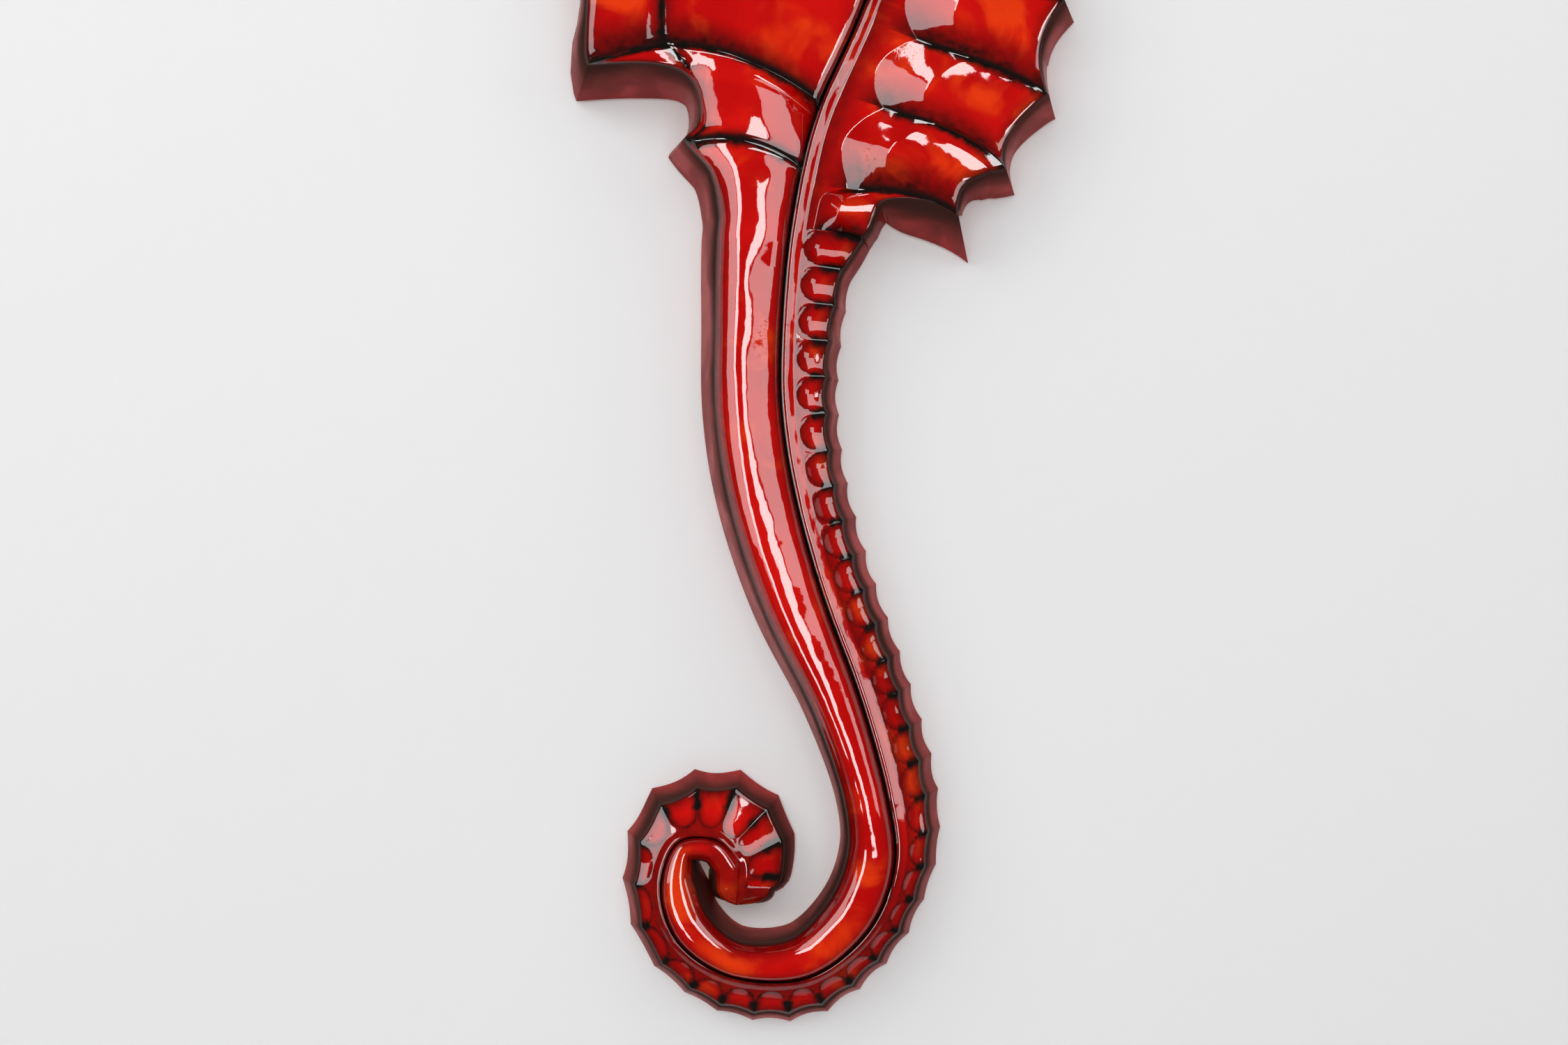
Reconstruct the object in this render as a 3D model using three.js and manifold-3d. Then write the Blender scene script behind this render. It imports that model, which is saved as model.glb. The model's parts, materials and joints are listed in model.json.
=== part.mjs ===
// A seahorse wall plaque: one hollow-backed glazed ceramic casting that hangs by two steel D-rings.
// The rings swing in straps screwed to a wooden batten, which is bonded into the hollow behind the trunk.
// Millimetres, +Z up, the front faces -Y and the wall is the plane y = 0.
// The origin is on the wall, midway between the two ring eyes that the wall hooks go through.
import * as THREE from "three";
import { mergeVertices } from "three/addons/utils/BufferGeometryUtils.js";
import Module from "manifold-3d";

// The figure's height from crest to curl, which the outline and the widths along it follow
const FIGURE_HEIGHT = 653.5;

// The casting's depths, measured out from the wall
const PAD_THICKNESS = 1.5;
const SNOUT_RIM = 20;
const FACE_RIM = 23;
const HEAD_RIM = 26;
const TRUNK_RIM = 28;
const TAIL_RIM = 27;
const BEND_RIM = 25;
const TURN_RIM = 22;
const CURL_RIM = 21;
const TAIL_TIP_RIM = 19;

// The relief of the front
const SNOUT_CROWN = 5;
const FACE_CROWN = 6;
const HEAD_CROWN = 8;
const TRUNK_CROWN = 5;
const TAIL_CROWN = 7;
const TURN_CROWN = 5;
const CURL_CROWN = 3.5;
const TAIL_TIP_CROWN = 2;
const GROOVE_DEPTH = 1.5;
const RIDGE_HEIGHT = 1.2;
const PLATE_RIB_HEIGHT = 1.2;
const STRIP_HEIGHT = 2;
const EDGE_ROLL = 2.2;
const EDGE_DROP = 0.8;
const CROWN_FULLNESS = 0.7;
const KEEL_DISH = 2;
const FIN_DISH = 4.5;
const SCOOP_DEPTH = 2.8;
const BROAD_WEB = 28;
const SCALLOP_DEPTH = 2.8;
const DISH_START = 0.33;
const DISH_RISE = 0.45;
const MOUTH_DIMPLE = 3;
const TAIL_TIP_BULGE = 2;
const EYE_STATION = 4;
const EYE_RADIUS = 7;
const EYE_SINK = 3.5;
const EYE_RING_WIDTH = 2.5;
const EYE_RING_SINK = 1.8;

// The hollow behind the casting
const ROOF_THICKNESS = 8.8;
const HOLLOW_TAPER = 3.5;
const HOLLOW_FROM = 3.6;
const HOLLOW_TO = 25.4;
const HOLLOW_BACK_SHARE = 0.8;

// The hanging hardware
const BATTEN_HEIGHT = 36;
const BATTEN_THICKNESS = 9;
const BATTEN_CORNER = 3;
const HANGER_INSET = 16;
const BED_LENGTH = 34;
const BED_INSET = 22;
const BED_MARGIN = 4;
const BED_THICKNESS = 1.5;
const BED_GAP = 0.2;
const RING_WIRE = 3;
const RING_INNER_WIDTH = 18;
const RING_INNER_HEIGHT = 14;
const RING_CORNER = 3;
const RING_PLAY = 0.3;
const STRAP_SHEET = 1;
const STRAP_WIDTH = 12;
const STRAP_MARGIN = 3.5;
const UPPER_SCREW_DROP = 8;
const LOWER_SCREW_INSET = 7;
const SCREW_SHANK = 3.4;
const SCREW_LENGTH = 7.5;
const SCREW_HEAD = 6.6;
const SCREW_HEAD_HEIGHT = 2;
const SCREW_SLOT_WIDTH = 1;
const SCREW_SLOT_DEPTH = 0.9;
const SCREW_PLAY = 0.3;
const RIM_PAD_DIAMETER = 8;
const BROAD_PAD_DIAMETER = 12;

// Lengths of the outline and of its profiles are written for a figure 653.5 mm high.
const drawn = (length) => (length * FIGURE_HEIGHT) / 653.5;
const lengths = (profile) => profile.map(([station, length]) => [station, drawn(length)]);

// The hanging point, above the mass centre, and the batten that spans the hollow there
const hangX = drawn(7.6);
const hangZ = drawn(297);
const battenLength = drawn(104);

// The groove line between belly side and back, from the mouth to the tail tip. Its points are the stations
// 0 to 31 that every profile below counts along. They are [x, z] from the middle of the tail's straight run.
const GROOVE_LINE = [
  [-95.5, 379], [-74.5, 385.5], [-51.5, 392], [-30, 399], [-7, 403], [15, 397],
  [32.5, 379.5], [43, 355], [48, 325], [49, 292.5], [46.5, 258], [39.5, 226],
  [28.5, 195], [13.8, 162.6], [6.8, 138.2], [1.6, 108.4], [-1.1, 74.5], [-1.1, 44.7],
  [3.8, 12.2], [14.4, -27], [29.3, -67.8], [40, -106], [43.2, -134.6], [32.8, -160.5],
  [9.6, -178.3], [-19.9, -178.3], [-41, -165.2], [-48.3, -144.7], [-42.3, -126.2], [-27, -124.6],
  [-18.2, -134], [-17.8, -148],
];
const TAIL_TIP = GROOVE_LINE.length - 1;

// From the groove to the ridge along the belly side
const BELLY_REACH = lengths([
  [0, 9.2], [1, 7.3], [2, 7.3], [3, 11.5], [4, 23], [5, 30], [6, 35], [7, 46], [8, 68], [9, 86], [10, 93.4],
  [11, 90], [12, 82], [12.95, 66.2], [13.1, 55], [13.25, 47], [13.5, 41.5], [13.75, 39.8], [14, 42.5],
  [14.3, 32.5], [14.75, 26.5], [15, 25.8], [16, 23.8], [18, 23.6], [19, 21.5], [20, 17], [21, 14.8],
  [22, 17], [23, 17.3], [24, 14.6], [25, 11.8], [26, 12.6], [27, 9.8], [27.5, 7.2], [28, 5.8], [28.6, 5.8],
  [29.3, 5.6], [30.2, 5], [31, 2.5],
]);
const RIM = [
  [0, SNOUT_RIM], [3, FACE_RIM], [5, HEAD_RIM], [7, TRUNK_RIM], [8.2, TRUNK_RIM], [13, TRUNK_RIM],
  [14, TRUNK_RIM], [16, TAIL_RIM], [20, BEND_RIM], [23, TURN_RIM], [26, CURL_RIM], [31, TAIL_TIP_RIM],
];
const CROWN = [
  [0, SNOUT_CROWN], [3, FACE_CROWN], [5, HEAD_CROWN], [8, TRUNK_CROWN], [13, TRUNK_CROWN],
  [16, TAIL_CROWN], [20, TAIL_CROWN], [24, TURN_CROWN], [28, CURL_CROWN], [31, TAIL_TIP_CROWN],
];
// From the groove to where scoops and fin webs begin
const STRIP_WIDTH = lengths([
  [0, 3], [4, 4], [9, 7], [12, 12], [14.3, 10],
  [16.3, 6], [24, 6], [27, 5], [31, 2.5],
]);
// How much of the crown runs on across the groove: all of it on the head, none on the trunk
const HEAD_ROUND = [[0, 1], [4.8, 1], [6.6, 0], [31, 0]];
// How far the ribs of the belly plates and of the back fin bow towards the head
const PLATE_BOW = lengths([[6, 0], [9, 3], [12, 5], [14, 4], [15, 0]]);
const FIN_BOW = lengths([[6, 0], [10, 2], [12, 2], [12.8, 5], [14.2, 3], [15, 0]]);
// How steeply the keel web hangs tailwards past the belly ridge
const KEEL_DROOP = [[7, 0], [9, 0.3], [11, 0.55], [13, 0.7], [13.12, 0.7], [13.4, 0]];
// How far the wall spreads towards the wall plane, for each millimetre of depth
const BELLY_DRAFT = [
  [0, 0.2], [12.5, 0.18], [12.9, 0.34], [13, 0.32], [13.08, 0.3], [13.25, 0.2], [13.8, 0.18], [14, 0.27],
  [16, 0.24], [19, 0.2], [21.5, 0.12], [24, 0.12], [27, 0.16], [31, 0.12],
];
const BACK_DRAFT = [
  [0, 0.2], [13, 0.21], [13.6, 0.22], [14.1, 0.16], [14.2, 0.2], [14.24, 0.38], [14.3, 0.33], [14.45, 0.22],
  [14.7, 0.16], [16, 0.18], [22, 0.22], [26, 0.24], [28.5, 0.28], [31, 0.2],
];
// A fin web's wall spreads this much more below one spike than above the next
const WEB_DRAFT_SWING = 0.14;
// The hollow's edge: past the belly ridge on one side, and from the groove on the other
const HOLLOW_KEEL = lengths([
  [6, -1], [7, 1], [8, 5], [9, 9], [10, 12],
  [12, 12], [12.6, 7], [13.1, -3], [13.4, -1],
]);
const HOLLOW_BACK = lengths([
  [3, 10], [4.5, 24], [5.3, 22], [6.2, 16], [8, 17], [9, 26], [10, 42], [11, 56], [12, 62], [13, 60],
  [13.7, 50], [14.3, 33], [14.8, 21], [15.3, 17.5], [16, 15.5], [18, 13.5], [20, 12.5], [22, 9], [24, 10.5],
  [25.5, 9],
]);

// A spike: the station, the tip's reach, the web's reach below it and how steeply the edge falls from the tip.
const spike = (at, tip, web, fall) => ({ at, tip: drawn(tip), web: drawn(web), fall });
const claw = (at, tip, fall) => ({ at, tip: drawn(tip), web: EDGE_ROLL, fall });
const plain = (at) => ({ at, tip: EDGE_ROLL, web: EDGE_ROLL, fall: 2 });

// Keel spikes, which reach past the belly ridge
const KEEL_SPIKES = [
  plain(0),
  plain(6),
  spike(7.2, 12, 6, 2.4),
  spike(8.65, 25, 16, 2.4),
  spike(10.1, 32, 22, 2),
  spike(11.55, 32, 22.5, 2),
  claw(13, 26, 20),
  claw(14, 4.5, 8),
  plain(15),
  plain(TAIL_TIP),
];
// Spikes of the brow, crown, nape and back fin, which reach out from the groove
const BACK_SPIKES = [
  spike(0, 9.5, 7, 2),
  spike(3, 15, 14, 2),
  spike(3.5, 23, 18, 2.4),
  spike(4.05, 36, 27, 2.4),
  spike(4.55, 46, 32, 2.4),
  spike(5.05, 46, 30, 2.4),
  spike(5.6, 36, 24, 2.4),
  spike(6.25, 30, 21, 2.4),
  spike(6.9, 27, 20, 2.4),
  spike(7.55, 27, 21, 2.4),
  spike(8.2, 31, 25, 2.4),
  spike(8.95, 45, 38, 2.4),
  spike(9.7, 57, 48, 2.4),
  spike(10.45, 66, 57, 2.4),
  spike(11.05, 73.5, 64.5, 2),
  spike(11.95, 80, 66.5, 2),
  spike(12.78, 77, 59, 2),
  spike(14.22, 64, 30.5, 9),
];
const SCOOPS_FROM = 14.78;
// From one rib of the tail's scoops to the next, along the outer edge
const SCOOP_PITCH = lengths([
  [14.78, 14.2], [24, 14.2], [25.8, 14.2], [26.2, 17], [28.2, 17], [28.5, 16], [29.4, 16], [29.8, 14.4],
  [31, 14.4],
]);
// The tips of the ribs between the tail's scoops, from the groove
const SCOOP_REACH = lengths([
  [14.78, 29], [15.25, 22.2], [15.75, 20.6], [16.2, 19.3], [17, 18.3], [18, 17.2], [19, 17.2], [20, 16.4],
  [21, 16.5], [21.7, 14.3], [22.4, 11.8], [23, 12], [23.6, 13], [24.2, 15.2], [24.8, 14.8], [25.4, 12.8],
  [26, 11.8], [27, 11.2], [27.7, 13.5], [28.15, 16.5], [28.7, 20], [29.25, 22.5], [29.7, 21.5],
  [30.05, 19.5], [30.3, 16], [30.65, 12.5], [31, 7],
]);

const GLAZE = { color: 0xa3120a, roughness: 0.12, metalness: 0 };
const BEECH = { color: 0xb98a5a, roughness: 0.7, metalness: 0 };
const ADHESIVE = { color: 0xcfc8b6, roughness: 0.6, metalness: 0 };
const ZINC_STEEL = { color: 0xb9bcc0, roughness: 0.35, metalness: 1 };
const FELT = { color: 0x3b3733, roughness: 1, metalness: 0 };

const wasm = await Module();
wasm.setup();

// Profiles and rib edges

// The value at a station of a profile of [station, value] pairs, on a smooth curve through them.
function along(profile, station) {
  const last = profile.length - 1;
  const x = THREE.MathUtils.clamp(station, profile[0][0], profile[last][0]);
  let i = 0;
  while (i < last - 1 && x > profile[i + 1][0]) i += 1;
  const slope = (k) => {
    const before = profile[Math.max(k - 1, 0)];
    const after = profile[Math.min(k + 1, last)];
    return (after[1] - before[1]) / (after[0] - before[0]);
  };
  const [x0, y0] = profile[i];
  const [x1, y1] = profile[i + 1];
  const span = x1 - x0;
  const s = (x - x0) / span;
  const rise = s * s * (3 - 2 * s);
  const bend = slope(i) * s * (1 - s) * (1 - s) - slope(i + 1) * s * s * (1 - s);
  return y0 + (y1 - y0) * rise + span * bend;
}

// The spike before a station, the one after it and how far the station lies between them, from 0 to 1.
function between(spikes, station) {
  let i = 0;
  while (i < spikes.length - 2 && station >= spikes[i + 1].at) i += 1;
  const [before, after] = [spikes[i], spikes[i + 1]];
  return { before, after, share: (station - before.at) / (after.at - before.at) };
}

// The reach of a spiked edge: each web hangs between two tips in a hollow curve.
function edgeReach(spikes, station) {
  const { before, after, share } = between(spikes, station);
  const fromBefore = (before.tip - before.web) * (1 - share) ** before.fall;
  const fromAfter = (after.tip - before.web) * share ** 2;
  return before.web + fromBefore + fromAfter;
}

const grooveCurve = new THREE.SplineCurve(GROOVE_LINE.map(([x, z]) => new THREE.Vector2(drawn(x), drawn(z))));

// The groove's point at a station, its direction towards the tail and the direction towards the back.
function frameAt(station) {
  const share = station / TAIL_TIP;
  const tailwards = grooveCurve.getTangent(share);
  return {
    point: grooveCurve.getPoint(share),
    tailwards,
    backwards: new THREE.Vector2(-tailwards.y, tailwards.x),
  };
}

// Scoops along the tail's outer edge, from the fin's end to the tail tip.
function scoopSpikes() {
  const step = 0.01;
  const edgePoint = (station) => {
    const { point, backwards } = frameAt(station);
    return point.addScaledVector(backwards, along(SCOOP_REACH, station));
  };
  const spikes = [];
  let run = along(SCOOP_PITCH, SCOOPS_FROM);
  let previous = edgePoint(SCOOPS_FROM);
  for (let station = SCOOPS_FROM; station < TAIL_TIP - step; station += step) {
    const here = edgePoint(station);
    run += here.distanceTo(previous);
    previous = here;
    const pitch = along(SCOOP_PITCH, station);
    if (run < pitch) continue;
    run -= pitch;
    const tip = along(SCOOP_REACH, station);
    spikes.push({ at: station, tip, web: tip - SCALLOP_DEPTH, fall: 2 });
  }
  return spikes;
}

const scoops = scoopSpikes();
const tailEnd = along(SCOOP_REACH, TAIL_TIP);
const backSpikes = [...BACK_SPIKES, ...scoops, { at: TAIL_TIP, tip: tailEnd, web: tailEnd, fall: 2 }];

// Places on the front, by station and reach

const bellyReach = (station) => along(BELLY_REACH, station);
const keelReach = (station) => edgeReach(KEEL_SPIKES, station);
const backReach = (station) => edgeReach(backSpikes, station);

// A point on the belly side: up to the belly ridge the ribs bow, and past it the keel web droops.
function bellyPlace(station, reach) {
  const { point, tailwards, backwards } = frameAt(station);
  const ridge = bellyReach(station);
  const share = Math.min(reach / ridge, 1);
  const bow = along(PLATE_BOW, station) * 4 * share * (1 - share);
  const droop = along(KEEL_DROOP, station) * Math.max(reach - ridge, 0);
  return point.addScaledVector(backwards, -reach).addScaledVector(tailwards, droop - bow);
}

// A point on the back's side, where the fin ribs bow most at two thirds of their length.
function backPlace(station, reach) {
  const { point, tailwards, backwards } = frameAt(station);
  const share = Math.min(reach / backReach(station), 1);
  const bow = along(FIN_BOW, station) * (27 / 4) * share * share * (1 - share);
  return point.addScaledVector(backwards, reach).addScaledVector(tailwards, -bow);
}

// Height of the plate between groove and belly ridge. Ribs stand up where two plates meet.
function plateHeight(station, share) {
  const plate = (1 - (2 * share - 1) ** 2) ** CROWN_FULLNESS;
  const dome = (1 - share ** 2) ** CROWN_FULLNESS;
  const round = THREE.MathUtils.lerp(plate, dome, along(HEAD_ROUND, station));
  const onRib = KEEL_SPIKES.some((spike) => Math.abs(spike.at - station) < 1e-6 && spike.tip > EDGE_ROLL);
  const rib = onRib ? PLATE_RIB_HEIGHT * share : 0;
  return along(RIM, station) + along(CROWN, station) * round + rib;
}

// Heights of the groove and of the strip beside it, above the rim
function grooveRise(station) {
  return THREE.MathUtils.lerp(-GROOVE_DEPTH, along(CROWN, station), along(HEAD_ROUND, station));
}

function stripRise(station) {
  return THREE.MathUtils.lerp(STRIP_HEIGHT, along(CROWN, station), along(HEAD_ROUND, station));
}

// Height of the web between the strip beside the groove and the back's edge: a scoop between two ribs.
function webHeight(station, share) {
  const { before, after, share: between01 } = between(backSpikes, station);
  const broad = THREE.MathUtils.clamp((before.tip + after.tip) / 2 / BROAD_WEB, 0, 1);
  const plain = station < BACK_SPIKES[1].at ? 0 : 1;
  const depth = plain * THREE.MathUtils.lerp(SCOOP_DEPTH, FIN_DISH, broad * broad);
  const across = 4 * between01 * (1 - between01);
  const outwards = Math.min(share / DISH_START, 1) - DISH_RISE * share * share;
  const slope = THREE.MathUtils.lerp(stripRise(station), -EDGE_DROP, share);
  return along(RIM, station) + slope - depth * across * outwards;
}

// Columns of a row, as shares of the plate from the ridge to the groove and of the web from strip to edge
const PLATE_COLUMNS = [0.85, 0.65, 0.4, 0.18];
const WEB_COLUMNS = [0, 0.35, 0.7, 1];

// One row of the front from the keel's edge to the back's edge, as [place, height] pairs.
function frontRow(station) {
  const rim = along(RIM, station);
  const ridge = bellyReach(station);
  const keel = keelReach(station);
  const back = backReach(station);
  const strip = along(STRIP_WIDTH, station);
  const dish = KEEL_DISH * THREE.MathUtils.clamp(keel / EDGE_ROLL - 1, 0, 1);
  const row = [
    [bellyPlace(station, ridge + keel), rim - EDGE_DROP],
    [bellyPlace(station, ridge + keel / 2), rim + RIDGE_HEIGHT / 2 - dish],
    [bellyPlace(station, ridge), rim + RIDGE_HEIGHT],
  ];
  for (const share of PLATE_COLUMNS) {
    row.push([bellyPlace(station, ridge * share), plateHeight(station, share)]);
  }
  row.push([bellyPlace(station, 0), rim + grooveRise(station)]);
  row.push([backPlace(station, strip / 2), rim + stripRise(station)]);
  for (const share of WEB_COLUMNS) {
    row.push([backPlace(station, strip + (back - strip) * share), webHeight(station, share)]);
  }
  return row;
}

// Rows between two ribs, as shares of the way from one to the next
const SCOOP_ROWS = [0, 0.33, 0.67];
const WEB_ROWS = [0, 0.1, 0.3, 0.6, 0.85];
const LONG_WEB_ROWS = [0, 0.15, 0.3, 0.45, 0.6, 0.75, 0.9];
const CLAW_ROWS = [0, 0.035, 0.08, 0.14, 0.22, 0.35, 0.55, 0.8];
const STEEP_KEEL_ROWS = [0, 0.02, 0.045, 0.08, 0.13, 0.2, 0.3];
const LONG_WEB = 2;
const STEEP_FALL = 4;
const CLOSEST_ROWS = 0.02;

// Stations of the rows: every rib, with rows between that follow the hollow edges.
function rowStations() {
  const wanted = [];
  const spread = (spikes, shares) => {
    for (let i = 0; i + 1 < spikes.length; i += 1) {
      const span = spikes[i + 1].at - spikes[i].at;
      for (const share of shares(spikes[i], span)) wanted.push(spikes[i].at + span * share);
    }
  };
  spread(backSpikes, (spike, span) => {
    if (spike.at >= SCOOPS_FROM) return SCOOP_ROWS;
    if (spike.fall > STEEP_FALL) return CLAW_ROWS;
    return span > LONG_WEB ? LONG_WEB_ROWS : WEB_ROWS;
  });
  spread(KEEL_SPIKES, (spike) => (spike.fall > STEEP_FALL ? STEEP_KEEL_ROWS : [0]));
  wanted.push(TAIL_TIP);
  const ribs = new Set([...backSpikes, ...KEEL_SPIKES].map((spike) => spike.at));
  const rows = [];
  for (const station of [...new Set(wanted)].sort((a, b) => a - b)) {
    const crowded = rows.length > 0 && station - rows.at(-1) < CLOSEST_ROWS;
    if (crowded && !ribs.has(station)) continue;
    if (crowded && !ribs.has(rows.at(-1))) rows.pop();
    rows.push(station);
  }
  return rows;
}

// The wall's spread on the back's side
function backDraft(station) {
  const onFin = station > BACK_SPIKES[1].at && station < SCOOPS_FROM;
  const swing = onFin ? WEB_DRAFT_SWING * (0.5 - between(backSpikes, station).share) : 0;
  return along(BACK_DRAFT, station) + swing;
}

// The outline of the front moved outwards to the wall plane. Each edge moves by its own distance: a spike's
// corner goes where its two moved edges meet, and any other corner along the mean direction there.
function spreadOutline(outline, distances) {
  const outward = (from, to) => new THREE.Vector2(to.y - from.y, from.x - to.x).normalize();
  const spikeTurn = 0.45;
  const flattest = 0.6;
  const moves = outline.map((corner, i) => {
    const first = outward(outline.at(i - 1), corner);
    const second = outward(corner, outline[(i + 1) % outline.length]);
    const [near, far] = [distances.at(i - 1), distances[i]];
    const turn = first.cross(second);
    if (turn > spikeTurn) {
      const x = (near * second.y - far * first.y) / turn;
      const z = (far * first.x - near * second.x) / turn;
      return { spike: true, by: new THREE.Vector2(x, z) };
    }
    const mean = first.clone().add(second).normalize();
    return { spike: false, by: mean.multiplyScalar((near + far) / 2 / Math.max(mean.dot(first), flattest)) };
  });
  const eased = (i) => {
    const neighbours = moves.at(i - 1).by.clone().add(moves[(i + 1) % moves.length].by);
    return neighbours.multiplyScalar(0.25).addScaledVector(moves[i].by, 0.5);
  };
  return outline.map((corner, i) => corner.clone().add(moves[i].spike ? moves[i].by : eased(i)));
}

// The casting

// A closed solid from loops of points that follow each other, with a point in the middle of each end.
function loftGeometry(loops, firstMiddle, lastMiddle) {
  const size = loops[0].length;
  const points = [...loops.flat(), firstMiddle, lastMiddle];
  const index = [];
  for (let row = 0; row + 1 < loops.length; row += 1) {
    for (let column = 0; column < size; column += 1) {
      const next = (column + 1) % size;
      const [a, b] = [row * size + column, row * size + next];
      const [c, d] = [(row + 1) * size + next, (row + 1) * size + column];
      index.push(a, c, b, a, d, c);
    }
  }
  const lastLoop = (loops.length - 1) * size;
  for (let column = 0; column < size; column += 1) {
    const next = (column + 1) % size;
    index.push(points.length - 2, column, next);
    index.push(points.length - 1, lastLoop + next, lastLoop + column);
  }
  const geometry = new THREE.BufferGeometry().setFromPoints(points);
  geometry.setIndex(index);
  return geometry;
}

const raised = (place, height) => new THREE.Vector3(place.x, -height, place.y);

function castingLoft() {
  const stations = rowStations();
  const fronts = stations.map(frontRow);
  const last = stations.length - 1;
  const bellyEdge = fronts.map((row) => row[0]);
  const backEdge = fronts.map((row) => row[row.length - 1]);
  const outline = [...bellyEdge, ...backEdge.slice().reverse()].map(([place]) => place);
  const middles = stations.slice(1).map((station, i) => (station + stations[i]) / 2);
  const spread = (draft) => (station) => draft(station) * (along(RIM, station) - PAD_THICKNESS);
  const bellySpread = middles.map(spread((station) => along(BELLY_DRAFT, station)));
  const backSpread = middles.map(spread(backDraft));
  const endSpread = spread((station) => along(BACK_DRAFT, station));
  const distances = [...bellySpread, endSpread(TAIL_TIP), ...backSpread.reverse(), endSpread(0)];
  const foot = spreadOutline(outline, distances);
  const loops = stations.map((station, i) => {
    const hollow = station > HOLLOW_FROM && station < HOLLOW_TO;
    const roof = hollow ? along(RIM, station) - ROOF_THICKNESS : PAD_THICKNESS;
    const belly = bellyReach(station) + along(HOLLOW_KEEL, station);
    const back = Math.min(along(HOLLOW_BACK, station), backReach(station) * HOLLOW_BACK_SHARE);
    const taper = Math.min(HOLLOW_TAPER, belly / 2, back / 2);
    return [
      ...fronts[i].map(([place, height]) => raised(place, height)),
      raised(foot[outline.length - 1 - i], PAD_THICKNESS),
      raised(backPlace(station, back), PAD_THICKNESS),
      raised(backPlace(station, back - taper), roof),
      raised(bellyPlace(station, belly - taper), roof),
      raised(bellyPlace(station, belly), PAD_THICKNESS),
      raised(foot[i], PAD_THICKNESS),
    ];
  });
  const endPoint = (station, beyond) => {
    const { point, tailwards } = frameAt(station);
    return raised(point.addScaledVector(tailwards, beyond), along(RIM, station) / 2);
  };
  return loftGeometry(loops, endPoint(0, MOUTH_DIMPLE), endPoint(stations[last], TAIL_TIP_BULGE));
}

// Solids for joining and cutting

function solidOf(geometry) {
  const bare = new THREE.BufferGeometry();
  bare.setAttribute("position", geometry.getAttribute("position"));
  if (geometry.index) bare.setIndex(geometry.index);
  const merged = mergeVertices(bare, 1e-4);
  return new wasm.Manifold(
    new wasm.Mesh({
      numProp: 3,
      vertProperties: merged.getAttribute("position").array,
      triVerts: new Uint32Array(merged.index.array),
    }),
  );
}

function geometryOf(solid) {
  const { vertProperties, triVerts } = solid.getMesh();
  const geometry = new THREE.BufferGeometry();
  geometry.setAttribute("position", new THREE.BufferAttribute(vertProperties, 3));
  geometry.setIndex(new THREE.BufferAttribute(triVerts, 1));
  return geometry;
}

// The eye: a ball in a raised ring, half sunk in the head.
function eyeGeometries() {
  const { point } = frameAt(EYE_STATION);
  const height = along(RIM, EYE_STATION) + grooveRise(EYE_STATION);
  const ball = new THREE.SphereGeometry(EYE_RADIUS, 16, 10);
  const ring = new THREE.TorusGeometry(EYE_RADIUS + EYE_RING_WIDTH, EYE_RING_WIDTH, 8, 20);
  ring.rotateX(Math.PI / 2);
  ball.translate(point.x, EYE_SINK - height, point.y);
  ring.translate(point.x, EYE_RING_SINK - height, point.y);
  return [ball, ring];
}

function castingGeometry() {
  const [ball, ring] = eyeGeometries();
  return geometryOf(solidOf(castingLoft()).add(solidOf(ring)).add(solidOf(ball)));
}

// The hanging hardware, in heights out from the wall

const bedTop = TRUNK_RIM - ROOF_THICKNESS - BED_GAP;
const battenBack = bedTop - BED_THICKNESS;
const battenFace = battenBack - BATTEN_THICKNESS;
const wireRadius = RING_WIRE / 2;
const loopHole = wireRadius + RING_PLAY;
const loopRadius = loopHole + STRAP_SHEET;
const loopHeight = battenFace - loopRadius;
const loopZ = hangZ - wireRadius - RING_INNER_HEIGHT;
const battenTop = loopZ + wireRadius;
const battenZ = battenTop - BATTEN_HEIGHT / 2;
const strapTop = battenFace - 2 * STRAP_SHEET;
const strapLength = BATTEN_HEIGHT - wireRadius - STRAP_MARGIN;
const screwDrops = { upper: UPPER_SCREW_DROP, lower: strapLength - LOWER_SCREW_INSET };

// A flat plate seen from the front, its shape in x and z, between two heights out from the wall.
function plateGeometry(shape, nearHeight, farHeight) {
  const geometry = new THREE.ExtrudeGeometry(shape, {
    depth: farHeight - nearHeight,
    bevelEnabled: false,
    curveSegments: 6,
  });
  return geometry.rotateX(Math.PI / 2).translate(0, -nearHeight, 0);
}

function roundedRectangle(width, height, corner, middleX, middleZ) {
  const [x, z] = [width / 2 - corner, height / 2 - corner];
  const shape = new THREE.Shape();
  shape.absarc(middleX + x, middleZ + z, corner, 0, Math.PI / 2);
  shape.absarc(middleX - x, middleZ + z, corner, Math.PI / 2, Math.PI);
  shape.absarc(middleX - x, middleZ - z, corner, Math.PI, Math.PI * 1.5);
  shape.absarc(middleX + x, middleZ - z, corner, Math.PI * 1.5, Math.PI * 2);
  return shape;
}

function roundHole(x, z, radius) {
  const hole = new THREE.Path();
  hole.absarc(x, z, radius, 0, Math.PI * 2);
  return hole;
}

const hangerReach = battenLength / 2 - HANGER_INSET;
const hangerXs = { left: hangX - hangerReach, right: hangX + hangerReach };

function battenGeometry() {
  const shape = roundedRectangle(battenLength, BATTEN_HEIGHT, BATTEN_CORNER, hangX, battenZ);
  for (const x of Object.values(hangerXs)) {
    for (const drop of Object.values(screwDrops)) {
      shape.holes.push(roundHole(x, loopZ - drop, SCREW_SHANK / 2 + SCREW_PLAY));
    }
  }
  return plateGeometry(shape, battenFace, battenBack);
}

function bedGeometry(side) {
  const x = hangX + side * (battenLength / 2 - BED_INSET);
  const bedWidth = BATTEN_HEIGHT - 2 * BED_MARGIN;
  const shape = roundedRectangle(BED_LENGTH, bedWidth, BATTEN_CORNER, x, battenZ);
  return plateGeometry(shape, battenBack, bedTop);
}

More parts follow.
